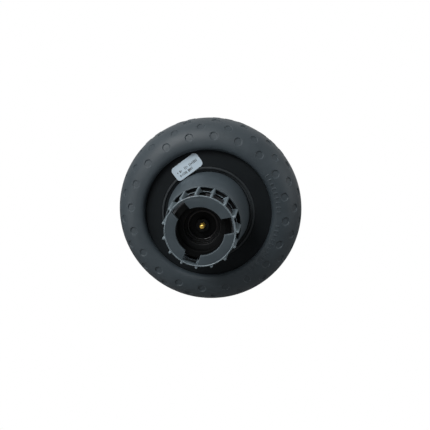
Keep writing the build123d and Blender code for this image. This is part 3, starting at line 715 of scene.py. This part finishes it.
def tyreProfile():
    # points from the crown to the bead's bore on one side, with the distance run over the surface
    lipCentre = hubRadius + tyre["gap"] + tyre["lip"]
    wide = wheelRadius - tyre["inset"] - lipCentre
    tall = tyreHalf - tyre["inset"]
    lip = tyre["lip"] - tyre["inset"] / 2
    points = []
    for step in range(crownSteps + 1):
        turn = math.radians(90 * step / crownSteps)
        points.append(Vector((lipCentre + wide * math.cos(turn), tall * math.sin(turn))))
    for step in range(1, lipSteps + 1):
        turn = math.radians(90 * step / lipSteps)
        reach = tyre["lip"] * math.sin(turn) ** tyre["lipShape"]
        points.append(Vector((lipCentre - reach, tall - lip + lip * math.cos(turn) ** tyre["lipShape"])))
    run = [0.0]
    for first, second in zip(points, points[1:]):
        run.append(run[-1] + (second - first).length)
    return points, run


profilePoints, profileRun = tyreProfile()


def onTyre(distance):
    # radius, offset from the middle and outward normal at a distance over the surface from the crown
    side = -1 if distance < 0 else 1
    distance = min(abs(distance), profileRun[-1] - 1e-6)
    low, high = 0, len(profileRun) - 1
    while high - low > 1:
        middle = (low + high) // 2
        if profileRun[middle] <= distance:
            low = middle
        else:
            high = middle
    share = (distance - profileRun[low]) / (profileRun[high] - profileRun[low])
    point = profilePoints[low].lerp(profilePoints[high], share)
    ahead = profilePoints[high] - profilePoints[low]
    normal = Vector((ahead.y, -ahead.x)).normalized()
    return point.x, side * point.y, Vector((normal.x, side * normal.y))


def tyrePoint(angle, distance, depth=0.0):
    radius, offset, normal = onTyre(distance)
    radius -= frontLip(distance) + normal.x * depth
    return polar(radius, angle, wheelMid + offset - normal.y * depth)


def frontLip(distance):
    # the reach of the bead in front, which grows from the top of its lip to its end
    start = profileRun[crownSteps]
    share = min(max((-distance - start) / (profileRun[-1] - start), 0.0), 1.0)
    return tyre["frontReach"] * share * share * (3 - 2 * share)


def dimpleCell(work, angle, distance):
    # one cell of the tread: a rectangle that closes in on a round flat-bottomed dimple
    halfAngle, halfRun = 180 / tyre["perRow"], tyre["pitch"] / 2
    across, along = tyre["across"], tyre["along"]
    border = [(-1 + 2 * k / across, -1) for k in range(across)]
    border += [(1, -1 + 2 * k / along) for k in range(along)]
    border += [(1 - 2 * k / across, 1) for k in range(across)]
    border += [(-1, 1 - 2 * k / along) for k in range(along)]
    size, depth = tyre["dimple"], tyre["depth"]
    section = [(1.16, 0), (1.08, 0.02), (1.03, 0.12), (1.0, 0.32), (0.975, 0.6), (0.94, 0.84), (0.88, 0.96),
               (0.78, 1.0), (0.45, 1.0)]
    rings = []
    for blend in (0.0, 0.5, 0.85):
        ring = []
        for x, y in border:
            turn = math.atan2(y, x)
            b = size * 1.25 * math.sin(turn)
            a = math.degrees(size * 1.25 * math.cos(turn) / onTyre(distance + b)[0])
            aside = (1 - blend) * x * halfAngle + blend * a
            onward = (1 - blend) * y * halfRun + blend * b
            ring.append(work.verts.new(tyrePoint(angle + aside, distance + onward)))
        rings.append(ring)
    for share, drop in section:
        ring = []
        for x, y in border:
            turn = math.atan2(y, x)
            b = size * share * math.sin(turn)
            a = math.degrees(size * share * math.cos(turn) / onTyre(distance + b)[0])
            ring.append(work.verts.new(tyrePoint(angle + a, distance + b, depth * drop)))
        rings.append(ring)
    middle = work.verts.new(tyrePoint(angle, distance, depth))
    count = len(border)
    for outer, inner in zip(rings, rings[1:]):
        for k in range(count):
            work.faces.new((outer[k], outer[(k + 1) % count], inner[(k + 1) % count], inner[k]))
    for k in range(count):
        work.faces.new((rings[-1][k], rings[-1][(k + 1) % count], middle))


def cellAngles(angle):
    width = 360 / tyre["perRow"]
    return [angle - width / 2 + width * k / tyre["across"] for k in range(tyre["across"] + 1)]


def skin(work, rows):
    # faces between rows of points
    made = [[work.verts.new(point) for point in row] for row in rows]
    for first, second in zip(made, made[1:]):
        for k in range(len(first) - 1):
            work.faces.new((first[k], first[k + 1], second[k + 1], second[k]))


def plainBand(work, angle, runs):
    # a smooth strip of the section, one cell wide
    skin(work, [[tyrePoint(a, distance) for a in cellAngles(angle)] for distance in runs])


def beadBore(work, angle):
    # from the end of the lip in front, out along the hub's face, to the end of the lip behind
    angles, end = cellAngles(angle), profileRun[-1]
    bore = hubRadius + tyre["gap"]
    inner, close = bore - tyre["frontReach"], hubFront - tyre["gap"]
    foot = [(inner, hubFront - 0.7), (inner + 0.2, hubFront - 0.2), (inner + 0.6, close), (bore, close)]
    rows = [[tyrePoint(a, -end) for a in angles]]
    rows += [[polar(radius, a, station) for a in angles] for radius, station in foot]
    rows.append([tyrePoint(a, end) for a in angles])
    skin(work, rows)


def tyreWedge():
    # one unit of the tread and both sidewalls
    work = bmesh.new()
    pitch, phase, rows = tyre["pitch"], tyre["phase"], tyre["rows"]
    crown = tyre["shoulder"] - (rows - 0.5) * pitch
    for side in (-1, 1):
        for row in range(rows):
            shift = 180 / tyre["perRow"] if row % 2 else 0
            dimpleCell(work, phase + shift, side * (tyre["shoulder"] - row * pitch))
        start, total = tyre["shoulder"] + pitch / 2, profileRun[-1]
        plainBand(work, phase, [side * (start + (total - start) * k / 14) for k in range(15)])
    plainBand(work, phase, [crown * (k / 5 - 1) for k in range(11)])
    beadBore(work, phase)
    bmesh.ops.remove_doubles(work, verts=work.verts, dist=1e-6)
    return finished("tyreWedge", work)


def raisedPad(name, angle, distance, halfWidth, halfRun, height, roundness):
    # a low block moulded on the tyre, with rounded edges and its foot under the surface
    radius = onTyre(distance)[0]
    work = bmesh.new()
    levels = [(0.0, 0.4), (0.0, -height + roundness), (0.3 * roundness, -height + 0.3 * roundness),
              (roundness, -height)]
    rings = []
    count = 24
    for inset, depth in levels:
        ring = []
        for k in range(count):
            turn = 2 * math.pi * (k + 0.5) / count
            c, s = math.cos(turn), math.sin(turn)
            a = math.copysign(abs(c) ** 0.45, c) * (halfWidth - inset)
            b = math.copysign(abs(s) ** 0.45, s) * (halfRun - inset)
            ring.append(work.verts.new(tyrePoint(angle + math.degrees(a / radius), distance + b, depth)))
        rings.append(ring)
    for outer, inner in zip(rings, rings[1:]):
        for k in range(count):
            work.faces.new((outer[k], outer[(k + 1) % count], inner[(k + 1) % count], inner[k]))
    top = work.verts.new(tyrePoint(angle, distance, -height))
    foot = work.verts.new(tyrePoint(angle, distance, 0.4))
    for k in range(count):
        work.faces.new((rings[-1][k], rings[-1][(k + 1) % count], top))
        work.faces.new((rings[0][(k + 1) % count], rings[0][k], foot))
    return finished(name, work)


tyreMarks = dict(
    crownCount=13, crownHalfWidth=3.1, crownHalfRun=1.3, crownStep=7.6, crownFirst=40, crownDistance=-5.0,
    sideCount=23, sideHalfWidth=0.6, sideHalfRun=1.45, sideStep=3.9, sideFirst=-52, sideRadius=54.2,
    crownHeight=0.24, sideHeight=0.33, roundness=0.2, keep=0.85,
)


def makeTyre():
    shells = [ringOf(tyreWedge(), tyre["perRow"], "tyreRubber")]
    marks = tyreMarks
    crown = raisedPad("crownPad", 0, marks["crownDistance"], marks["crownHalfWidth"], marks["crownHalfRun"],
                      marks["crownHeight"], marks["roundness"])
    shells.append(ringOf(crown, marks["crownCount"], "tyreRubber", first=marks["crownFirst"],
                         step=marks["crownStep"], keep=0.8, seed=4))
    run = min(profileRun, key=lambda r: abs(onTyre(r)[0] - marks["sideRadius"]) if r > 20 else 99)
    tick = raisedPad("sidePad", 0, -run, marks["sideHalfWidth"], marks["sideHalfRun"], marks["sideHeight"],
                     marks["roundness"])
    shells.append(ringOf(tick, marks["sideCount"], "tyreRubber", first=marks["sideFirst"],
                         step=marks["sideStep"], keep=marks["keep"], seed=11))
    addPiece("tyreBody", shells, "tyreRubber", "wheel", "tyre_rubber", "tyre")


makeTyre()
print("tyre")


# hub shell, seal, label

hub = dict(
    drumWall=4.0, web=3.5, recessDepth=5.0, recessGap=0.05, shoulder=1.0, seat=21.5, seatBore=17.55,
    hole=14.0, seatLength=10.0, edge=0.45,
)
seal = dict(wall=1.95, lipTip=32.9, lipFrom=2.0, lipTo=3.0, taper=0.3)


def makeHub():
    recess = sealHigh.x / mm + hub["recessGap"]
    inner = hubRadius - hub["drumWall"]
    floor = hubFront + hub["recessDepth"]
    webBack, pocket = floor + hub["web"], recess + hub["web"]
    front, edge = hubFront + hub["web"], hub["edge"]
    seatFront = floor + hub["shoulder"]
    seatBack = seatFront + hub["seatLength"]
    section = [
        (hubRadius, hubFront, edge), (recess, hubFront, edge), (recess, floor, 0.3),
        (hub["hole"], floor, 0.3), (hub["hole"], seatFront, 0.2),
        (hub["seatBore"], seatFront, 0.2), (hub["seatBore"], seatBack, 0.3), (hub["seat"], seatBack, 0.5),
        (hub["seat"], webBack, 1.0), (pocket, webBack, 1.0), (pocket, front, 1.0),
        (inner, front, 1.0), (inner, hubBack, 0.3), (hubRadius, hubBack, 0.3),
    ]
    addPiece("hubShell", [lathe("hubShell", section, 200)], "hubBlack", "wheel", "hub_black", "hub_shell")


def makeSeal():
    outer, front, back = sealHigh.x / mm, sealLow.y / mm, sealHigh.y / mm
    inner, lipTip = outer - seal["wall"], seal["lipTip"]
    lipFront, lipBack = front + seal["lipFrom"], front + seal["lipTo"]
    section = [
        (outer, front + 0.1, 0.35), (inner + 0.35, front, 0.4), (inner, lipFront, 0.2),
        (lipTip, lipFront + seal["taper"], 0.25), (lipTip, lipBack - 0.1, 0.25), (inner, lipBack, 0.2),
        (inner, back, 0.2), (outer, back, 0.2),
    ]
    ring = lathe("noseSeal", section, 180)
    addPiece("noseSeal", [ring], "sealRubber", "wheel", "seal_rubber", "nose_seal")


label = dict(length=24.0, height=11.6, corner=3.0, thick=0.25, circle=39.6, angle=114.2, slant=12.2)
labelPrint = dict(
    rows=((0.3, 18.8, 17, 0.2), (-2.8, 12.0, 11, -2.6)),    # each row's height, length, places and shift
    height=2.2, bar=0.8, thick=0.03, corner=0.12, skip=0.14, sway=0.12, seed=7,
)


def roundedPlate(name, length, height, corner, depth, edge, steps=8):
    # a flat plate with round corners and a softened top edge, in its own X and Y, rising along Z
    work = bmesh.new()
    rings = []
    levels = ((0, 0), (0, depth - edge), (0.3 * edge, depth - 0.3 * edge), (edge, depth), (edge * 2, depth))
    for inset, level in levels:
        ring = []
        for quarter in range(4):
            x = (length / 2 - corner) * (1 if quarter in (0, 3) else -1)
            y = (height / 2 - corner) * (1 if quarter < 2 else -1)
            for k in range(steps + 1):
                turn = math.pi / 2 * (quarter + k / steps)
                reach = max(corner - inset, 0.01)
                place = (x + reach * math.cos(turn), y + reach * math.sin(turn), level)
                ring.append(work.verts.new(Vector(place) * mm))
        rings.append(ring)
    count = len(rings[0])
    for lower, upper in zip(rings, rings[1:]):
        for k in range(count):
            work.faces.new((lower[k], lower[(k + 1) % count], upper[(k + 1) % count], upper[k]))
    work.faces.new(rings[-1])
    work.faces.new(list(reversed(rings[0])))
    return finished(name, work)


def onHubFace(mesh, lift=0.0, x=0.0, y=0.0):
    # from the plate's own plane to the hub's face, where the label is stuck
    place = Matrix.Translation(polar(label["circle"], label["angle"], hubFront))
    face = Matrix.Rotation(math.radians(90), 4, "X")    # the plate's Z points out along -Y
    tilt = Matrix.Rotation(math.radians(label["angle"] - 90 + label["slant"]), 4, "Z")
    offset = Matrix.Translation(Vector((x, y, lift)) * mm)
    mesh.transform(place @ face @ tilt @ offset)
    return mesh


def makeLabel():
    plate = roundedPlate("label", label["length"], label["height"], label["corner"], label["thick"], 0.08)
    addPiece("labelPlate", [onHubFace(plate)], "labelFilm", "wheel", "label_film", "label")
    # the print is generic: rows of plain bars of uneven size
    draw = random.Random(labelPrint["seed"])
    bars = []
    for y, width, count, shift in labelPrint["rows"]:
        for k in range(count):
            if draw.random() < labelPrint["skip"]:
                continue
            x = shift - width / 2 + width * (k + 0.5) / count
            tall = labelPrint["height"] * draw.choice((0.55, 0.8, 1.0))
            wide = labelPrint["bar"] * draw.choice((0.6, 0.9, 1.15))
            bar = roundedPlate("bar", wide, tall, labelPrint["corner"], labelPrint["thick"], 0.01, steps=2)
            sway = draw.uniform(-labelPrint["sway"], labelPrint["sway"])
            bars.append(onHubFace(bar, label["thick"], x, y + sway))
    addPiece("labelPrint", bars, "labelInk", "wheel", "label_film")


makeHub()
makeSeal()
makeLabel()
print("hub, seal and label")


# nose housing

nose = dict(
    bore=15.2, moduleBore=15.7, barrel=19.5, coneFront=18.0, frontRadius=26.0, wall=3.0, frontWall=4.0,
    guide=6.0, clipGroove=(11.8, 13.0), clipDepth=1.0, ringGroove=(14.6, 16.4), ringDepth=1.6, mouthEdge=0.7,
)


def makeNose():
    # the cone in its own finish, and the barrel that runs through it in near-black, a painted shade: the
    # barrel is part of the same grey housing, and its black stands in for the shade inside the nose and
    # behind the lock ring's windows
    base, end, foot = noseHigh.x / mm, noseHigh.y / mm, hubFront
    n, tube = nose, nose["barrel"]
    clipIn, clipOut = n["clipGroove"]
    ringIn, ringOut = n["ringGroove"]
    clipFloor, ringFloor = tube - n["clipDepth"], tube - n["ringDepth"]
    plate = n["coneFront"] + n["frontWall"]
    cone = [
        (base, end, 0.5), (base - n["wall"], end, 0.5), (n["frontRadius"] - n["wall"], plate, 1.0),
        (tube, plate, 0.1), (tube, n["coneFront"], 0.1), (n["frontRadius"], n["coneFront"], 1.2),
    ]
    barrel = [
        (tube, foot, 0.3), (n["moduleBore"], foot, 0.3), (n["moduleBore"], n["guide"], 0.05),
        (n["bore"], n["guide"], 0.05), (n["bore"], 0, n["mouthEdge"] * 0.8), (tube, 0, n["mouthEdge"]),
        (tube, clipIn, 0.1), (clipFloor, clipIn, 0.1), (clipFloor, clipOut, 0.1), (tube, clipOut, 0.1),
        (tube, ringIn, 0.1), (ringFloor, ringIn, 0.3), (ringFloor, ringOut, 0.3), (tube, ringOut, 0.1),
    ]
    coneMesh = lathe("noseHousing", cone, 180)
    addPiece("noseHousing", [coneMesh], "noseGrey", "axle", "nose_grey", "nose_housing")
    addPiece("noseBarrel", [lathe("noseBarrel", barrel, 180)], "boreBlack", "axle", "nose_grey")


makeNose()
print("nose housing")


# lock ring

lock = dict(
    bore=15.4, rim=22.5, flange=2.8, edge=0.35,
    notches=3, notchReach=20.8, notchWidth=10.0, notchAngle=12.0, notchCorner=0.5,
    # the bead is the front lip of the flange's rim; it is painted lighter than the ring, as a highlight
    bead=0.85, beadDrop=0.3, beadDepth=1.2,                 # the bright edge of the flange's rim
    baseRadius=26.0, baseLength=4.6, baseBore=19.58, shell=1.0,
    bushWall=0.8, bushGroove=2.0, ridge=22.5, ridgeWidth=0.5, ridgeDepth=1.5,
    ribs=15, ribRoot=21.6, ribFront=24.2, ribBack=25.7, ribWidth=1.5, ribSetback=0.45, ribSink=0.8,
    ribTip=0.45, flare=1.3,
)


def flangeOutlines():
    # the rim, and the bore with its three notches, as closed lists of points
    rim = []
    for k in range(180):
        turn = math.radians(2 * k)
        rim.append((lock["rim"] * math.cos(turn), lock["rim"] * math.sin(turn)))
    half, reach, bore = lock["notchWidth"] / 2, lock["notchReach"], lock["bore"]
    mouth = math.degrees(math.asin(half / bore))
    inner = []
    for notch in range(lock["notches"]):
        middle = lock["notchAngle"] + 360 / lock["notches"] * notch
        side = math.sqrt(bore ** 2 - half ** 2)
        corner, eased = lock["notchCorner"], 0.3 * lock["notchCorner"]
        wall = [
            (side, -half), (reach - corner, -half), (reach - eased, -half + eased), (reach, -half + corner),
            (reach, half - corner), (reach - eased, half - eased), (reach - corner, half), (side, half),
        ]
        c, s = math.cos(math.radians(middle)), math.sin(math.radians(middle))
        inner += [(x * c - y * s, x * s + y * c) for x, y in wall]
        first, last = middle + mouth, middle + 360 / lock["notches"] - mouth
        steps = 26
        for k in range(1, steps):
            turn = math.radians(first + (last - first) * k / steps)
            inner.append((bore * math.cos(turn), bore * math.sin(turn)))
    return rim, inner


def makeFlange():
    curve = bpy.data.curves.new("flange", "CURVE")
    curve.dimensions = "2D"
    curve.fill_mode = "BOTH"
    curve.extrude = ((lock["flange"] - lock["beadDrop"]) / 2 - lock["edge"]) * mm
    curve.bevel_depth = lock["edge"] * mm
    curve.bevel_resolution = 3
    curve.offset = -lock["edge"] * mm
    for outline in flangeOutlines():
        spline = curve.splines.new("POLY")
        spline.points.add(len(outline) - 1)
        for point, (x, y) in zip(spline.points, outline):
            point.co = (x * mm, y * mm, 0, 1)
        spline.use_cyclic_u = True
    mesh = settle(linked("flange", curve))
    mesh.transform(Matrix.Rotation(math.radians(90), 4, "X"))
    middle = lockLow.y / mm + lock["beadDrop"] + (lock["flange"] - lock["beadDrop"]) / 2
    mesh.transform(Matrix.Translation(Vector((0, middle, 0)) * mm))
    work = bmesh.new()
    work.from_mesh(mesh)
    bmesh.ops.remove_doubles(work, verts=work.verts, dist=1e-6)
    return finished("flange", work)


def makeRib():
    # one grip rib: round on top, wider where it meets the rim in front and the base ring behind
    rimEnd, baseStart = lockLow.y / mm + lock["flange"], lockHigh.y / mm - lock["baseLength"]
    front, back = lockLow.y / mm + lock["ribSetback"], baseStart + lock["ribSink"]
    span, steps = baseStart - rimEnd, 22
    stations = [front, front + 0.12, front + 0.4, front + 0.9]
    stations += [rimEnd - 0.4 + (span + 0.8) * k / steps for k in range(steps + 1)]
    stations += [back]
    half, swell, tip = lock["ribWidth"] / 2, lock["flare"], lock["ribTip"]
    work = bmesh.new()
    rings = []
    for station in stations:
        ahead = min(abs(station - rimEnd), abs(baseStart - station))
        extra = 0.0
        if rimEnd < station < baseStart:
            if ahead < swell:
                extra = swell - math.sqrt(swell ** 2 - (swell - ahead) ** 2)
        elif station >= rimEnd:
            extra = swell * 0.9
        shrink = 0.0
        if station - front < tip + 0.05:
            shrink = tip - math.sqrt(max(tip ** 2 - (tip - min(station - front, tip)) ** 2, 0))
        slope = (lock["ribBack"] - lock["ribFront"]) * (station - front) / (back - front)
        top, root = lock["ribFront"] + slope - shrink, lock["ribRoot"]
        section = [(-half - extra, root), (-half - extra * 0.9, root + 0.9)]
        for k in range(7):
            turn = math.pi * (1 - k / 6)
            across = (half - shrink * 0.6) * math.cos(turn)
            section.append((across, top - half * 0.8 + half * 0.8 * math.sin(turn)))
        section += [(half + extra * 0.9, root + 0.9), (half + extra, root)]
        rings.append([work.verts.new(Vector((radius, station, across)) * mm) for across, radius in section])
    count = len(rings[0])
    for first, second in zip(rings, rings[1:]):
        for k in range(count):
            work.faces.new((first[k], first[(k + 1) % count], second[(k + 1) % count], second[k]))
    work.faces.new(rings[0])
    work.faces.new(rings[-1])
    return finished("rib", work)


def makeLockRing():
    # the flange and base ring, the grips, rim bead and ridge in a lighter grey that paints their highlights,
    # and the dark bush that closes the base ring's inside, its black a painted shade
    front, back = lockLow.y / mm, lockHigh.y / mm
    start, outer = back - lock["baseLength"], lock["baseRadius"]
    inner = outer - lock["shell"]
    base = [(outer, start, 0.45), (inner, start, 0.45), (inner, back, 0.2), (outer, back, 0.5)]
    flangeAndBase = [makeFlange(), lathe("lockBase", base, 160)]
    addPiece("lockRing", flangeAndBase, "ringGrey", "lock_ring", "ring_grey", "lock_ring")
    rim, beadBack = lock["rim"], front + lock["beadDepth"]
    beadInner = rim - lock["bead"]
    bead = [(rim, front, 0.4), (beadInner, front, 0.4), (beadInner, beadBack, 0.2), (rim, beadBack, 0.2)]
    ridgeOuter = lock["ridge"] + lock["ridgeWidth"] / 2
    ridgeInner = lock["ridge"] - lock["ridgeWidth"] / 2
    ridgeBack = start + lock["ridgeDepth"]
    ridge = [
        (ridgeOuter, start, 0.2), (ridgeInner, start, 0.2),
        (ridgeInner, ridgeBack, 0), (ridgeOuter, ridgeBack, 0),
    ]
    # the ribs, rim bead and ridge take the lighter copy of the ring's grey: painted highlight
    ribs = ringOf(makeRib(), lock["ribs"], "ringPaintedHighlight")
    grips = [lathe("rimBead", bead, 160), lathe("bushRidge", ridge, 160), ribs]
    addPiece("lockRingGrips", grips, "ringPaintedHighlight", "lock_ring", "ring_grey")
    # the bush is black where the rest of the ring is grey: painted shade inside the base ring, seen through
    # the windows
    bore, floor, step = lock["baseBore"], start + lock["bushGroove"], start + 0.5
    collar = bore + lock["bushWall"]
    bush = [
        (inner - 0.05, floor, 0.1), (ridgeOuter, floor, 0.1), (ridgeOuter, step, 0.1),
        (ridgeInner, step, 0.1), (ridgeInner, floor, 0.1), (collar, floor, 0.1), (collar, start, 0.2),
        (bore, start, 0.2), (bore, back - 0.1, 0.2), (inner - 0.05, back - 0.1, 0.2),
    ]
    addPiece("lockBush", [lathe("lockBush", bush, 160)], "moduleBlack", "lock_ring", "dark_plastic")


makeLockRing()
print("lock ring")


# contact module

module = dict(
    mouth=12.0, mouthDepth=4.0, well=10.4, floor=9.0, boss=4.5, hole=2.85, mask=1.85, maskDepth=0.45,
    returnWall=1.15, returnDrop=1.0, returnGap=0.05,
)
pin = dict(radius=1.65, flat=0.35, tip=0.5, tipFillet=1.1, collar=2.0)


def makeModule():
    outer, front, back = moduleHigh.x / mm, moduleLow.y / mm, moduleHigh.y / mm
    m = module
    step, floor = front + m["mouthDepth"], front + m["floor"]
    maskBack = step + m["maskDepth"]                    # the boss closes in round the pin
    section = [
        (outer, front, 0.3), (outer, back, 0.5), (m["hole"], back, 0.2), (m["hole"], maskBack, 0.05),
        (m["mask"], maskBack, 0.05), (m["mask"], step, 0.15), (m["boss"], step, 0.4),
        (m["boss"], floor, 0.2), (m["well"], floor, 0.2), (m["well"], step, 0.35),
        (m["mouth"], step, 0.25), (m["mouth"], front, 0.45),
    ]
    insulator = lathe("contactModule", section, 128)
    addPiece("contactModule", [insulator], "moduleBlack", "axle", "dark_plastic", "contact_insulator")
    sleeveFront, sleeveOuter = step + m["returnDrop"], m["well"] - m["returnGap"]
    sleeveInner = sleeveOuter - m["returnWall"]
    sleeve = [
        (sleeveOuter, sleeveFront, 0.3), (sleeveOuter, floor, 0.1), (sleeveInner, floor, 0.1),
        (sleeveInner, sleeveFront, 0.3),
    ]
    # the return contact in near-black metal: painted shade for the inside of the deep bore
    contact = lathe("returnContact", sleeve, 128)
    addPiece("returnContact", [contact], "paintedShadeMetal", "axle", "black_nickel", "return_contact")


def makePin():
    tip, back, collar = pinLow.y / mm, pinHigh.y / mm, pinHigh.x / mm
    radius, collarFront = pin["radius"], back - pin["collar"]
    section = [
        (0, tip, 0), (radius * pin["flat"], tip, 0.1), (radius, tip + pin["tip"], pin["tipFillet"]),
        (radius, collarFront, 0.1), (collar, collarFront, 0.2), (collar, back, 0.2), (0, back, 0),
    ]
    contact = lathe("contactPin", section, 64, steps=8)
    addPiece("contactPin", [contact], "goldPlate", "contact_pin", "gold_contact", "contact_pin")


makeModule()
makePin()
print("contact module")


# back cover and cap

cover = dict(
    thickness=3.0, gasket=0.5, hole=14.0, capSeat=15.55, capDepth=1.8, spigotOuter=46.35, spigotInner=43.1,
    spigotDrop=2.5, seat=21.5, seatBore=17.55, shoulder=1.0, edge=0.8,
    grooves=(40.5, 24.0), grooveDepth=0.45, grooveWidth=1.2,
    screwCircle=48.0, screws=8, screwFirst=22.5, headWell=2.05, headDepth=1.6,
)
cap = dict(dish=5.5, dishEdge=6.2, dishDepth=0.5)


def coverSection():
    c = cover
    back = coverHigh.y / mm
    front, nearEnd = back - c["thickness"], coverLow.y / mm
    section = [(hubRadius, front, 0.2), (hubRadius, back, c["edge"])]
    wide, deep = c["grooveWidth"], c["grooveDepth"]
    for radius in c["grooves"]:
        section += [
            (radius + wide, back, 0.25), (radius + wide / 2, back - deep, 0.25),
            (radius - wide / 2, back - deep, 0.25), (radius - wide, back, 0.25),
        ]
    capFloor = back - c["capDepth"]
    shoulder = front - c["gasket"] - c["shoulder"]
    spigotEnd = front - c["spigotDrop"]
    section += [
        (c["capSeat"], back, 0.3), (c["capSeat"], capFloor, 0.1), (c["hole"], capFloor, 0.1),
        (c["hole"], shoulder, 0.1), (c["seatBore"], shoulder, 0.1), (c["seatBore"], nearEnd, 0.3),
        (c["seat"], nearEnd, 0.4), (c["seat"], front, 1.0), (c["spigotInner"], front, 0.6),
        (c["spigotInner"], spigotEnd, 0.3), (c["spigotOuter"], spigotEnd, 0.3),
        (c["spigotOuter"], front, 0.1),
    ]
    return section


def headWells():
    # the cylinders that sink the screws' heads into the cover
    drill = bmesh.new()
    radius, depth = cover["headWell"] * mm, 2 * cover["headDepth"] * mm
    for k in range(cover["screws"]):
        angle = cover["screwFirst"] + 360 / cover["screws"] * k
        centre = polar(cover["screwCircle"], angle, coverHigh.y / mm)
        turn = Matrix.Translation(centre) @ Matrix.Rotation(math.radians(90), 4, "X")
        bmesh.ops.create_cone(drill, cap_ends=True, segments=48, radius1=radius, radius2=radius, depth=depth,
                              matrix=turn)
    return linked("cutter", finished("cutter", drill))


def makeCover():
    item = linked("cover", lathe("cover", coverSection(), 200))
    cutter = headWells()
    cut = item.modifiers.new("headWells", "BOOLEAN")
    cut.object = cutter
    cut.solver = "EXACT"
    mesh = settle(item)
    bpy.data.objects.remove(cutter)
    mesh.set_sharp_from_angle(angle=math.radians(35))
    addPiece("backCover", [mesh], "coverPaint", "wheel", "cover_metal", "back_cover")


def makeCap():
    radius, front, back = capHigh.x / mm, capLow.y / mm, capHigh.y / mm
    dishFloor = back - cap["dishDepth"]
    section = [
        (0, dishFloor, 0), (cap["dish"], dishFloor, 0.3), (cap["dishEdge"], back, 0.3), (radius, back, 0.5),
        (radius, front, 0.2), (0, front, 0),
    ]
    addPiece("hubCap", [lathe("hubCap", section, 128)], "moduleBlack", "wheel", "dark_plastic", "hub_cap")


makeCover()
makeCap()
print("back cover and cap")


# finishes of the CAD nodes that stay

nodeFinish = dict(
    rotor_ring="coreSteel", magnets="magnetPlate", cover_gasket="sealRubber", cover_screws="screwSteel",
    axle_shaft="shaftSteel", flange_screws="screwSteel", axle_circlip="screwSteel",
    stator_carrier="castAlloy", stator_core="coreSteel", slot_insulators="moduleBlack",
    windings="copperWire", controller_board="boardGreen", board_spacers="turnedBrass",
    board_screws="screwSteel", transistors="packageBlack", capacitors="castAlloy",
    controller_chip="packageBlack", hall_sensors="packageBlack", stop_pin="shaftSteel",
    barrel_o_ring="sealRubber", lock_circlip="screwSteel", contact_barrel="turnedBrass",
    contact_spring="screwSteel", positive_lead="leadRed", return_lead="leadBlack",
)
for side in ("front", "rear"):
    for part in ("inner", "outer", "balls"):
        nodeFinish[f"{side}_bearing_{part}"] = "bearingSteel"
    nodeFinish[f"{side}_bearing_cage"] = "turnedBrass"
for node, finish in nodeFinish.items():
    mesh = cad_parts[node].data
    mesh.materials.clear()
    mesh.materials.append(materials[finish])
print(len(nodeFinish), "CAD nodes finished")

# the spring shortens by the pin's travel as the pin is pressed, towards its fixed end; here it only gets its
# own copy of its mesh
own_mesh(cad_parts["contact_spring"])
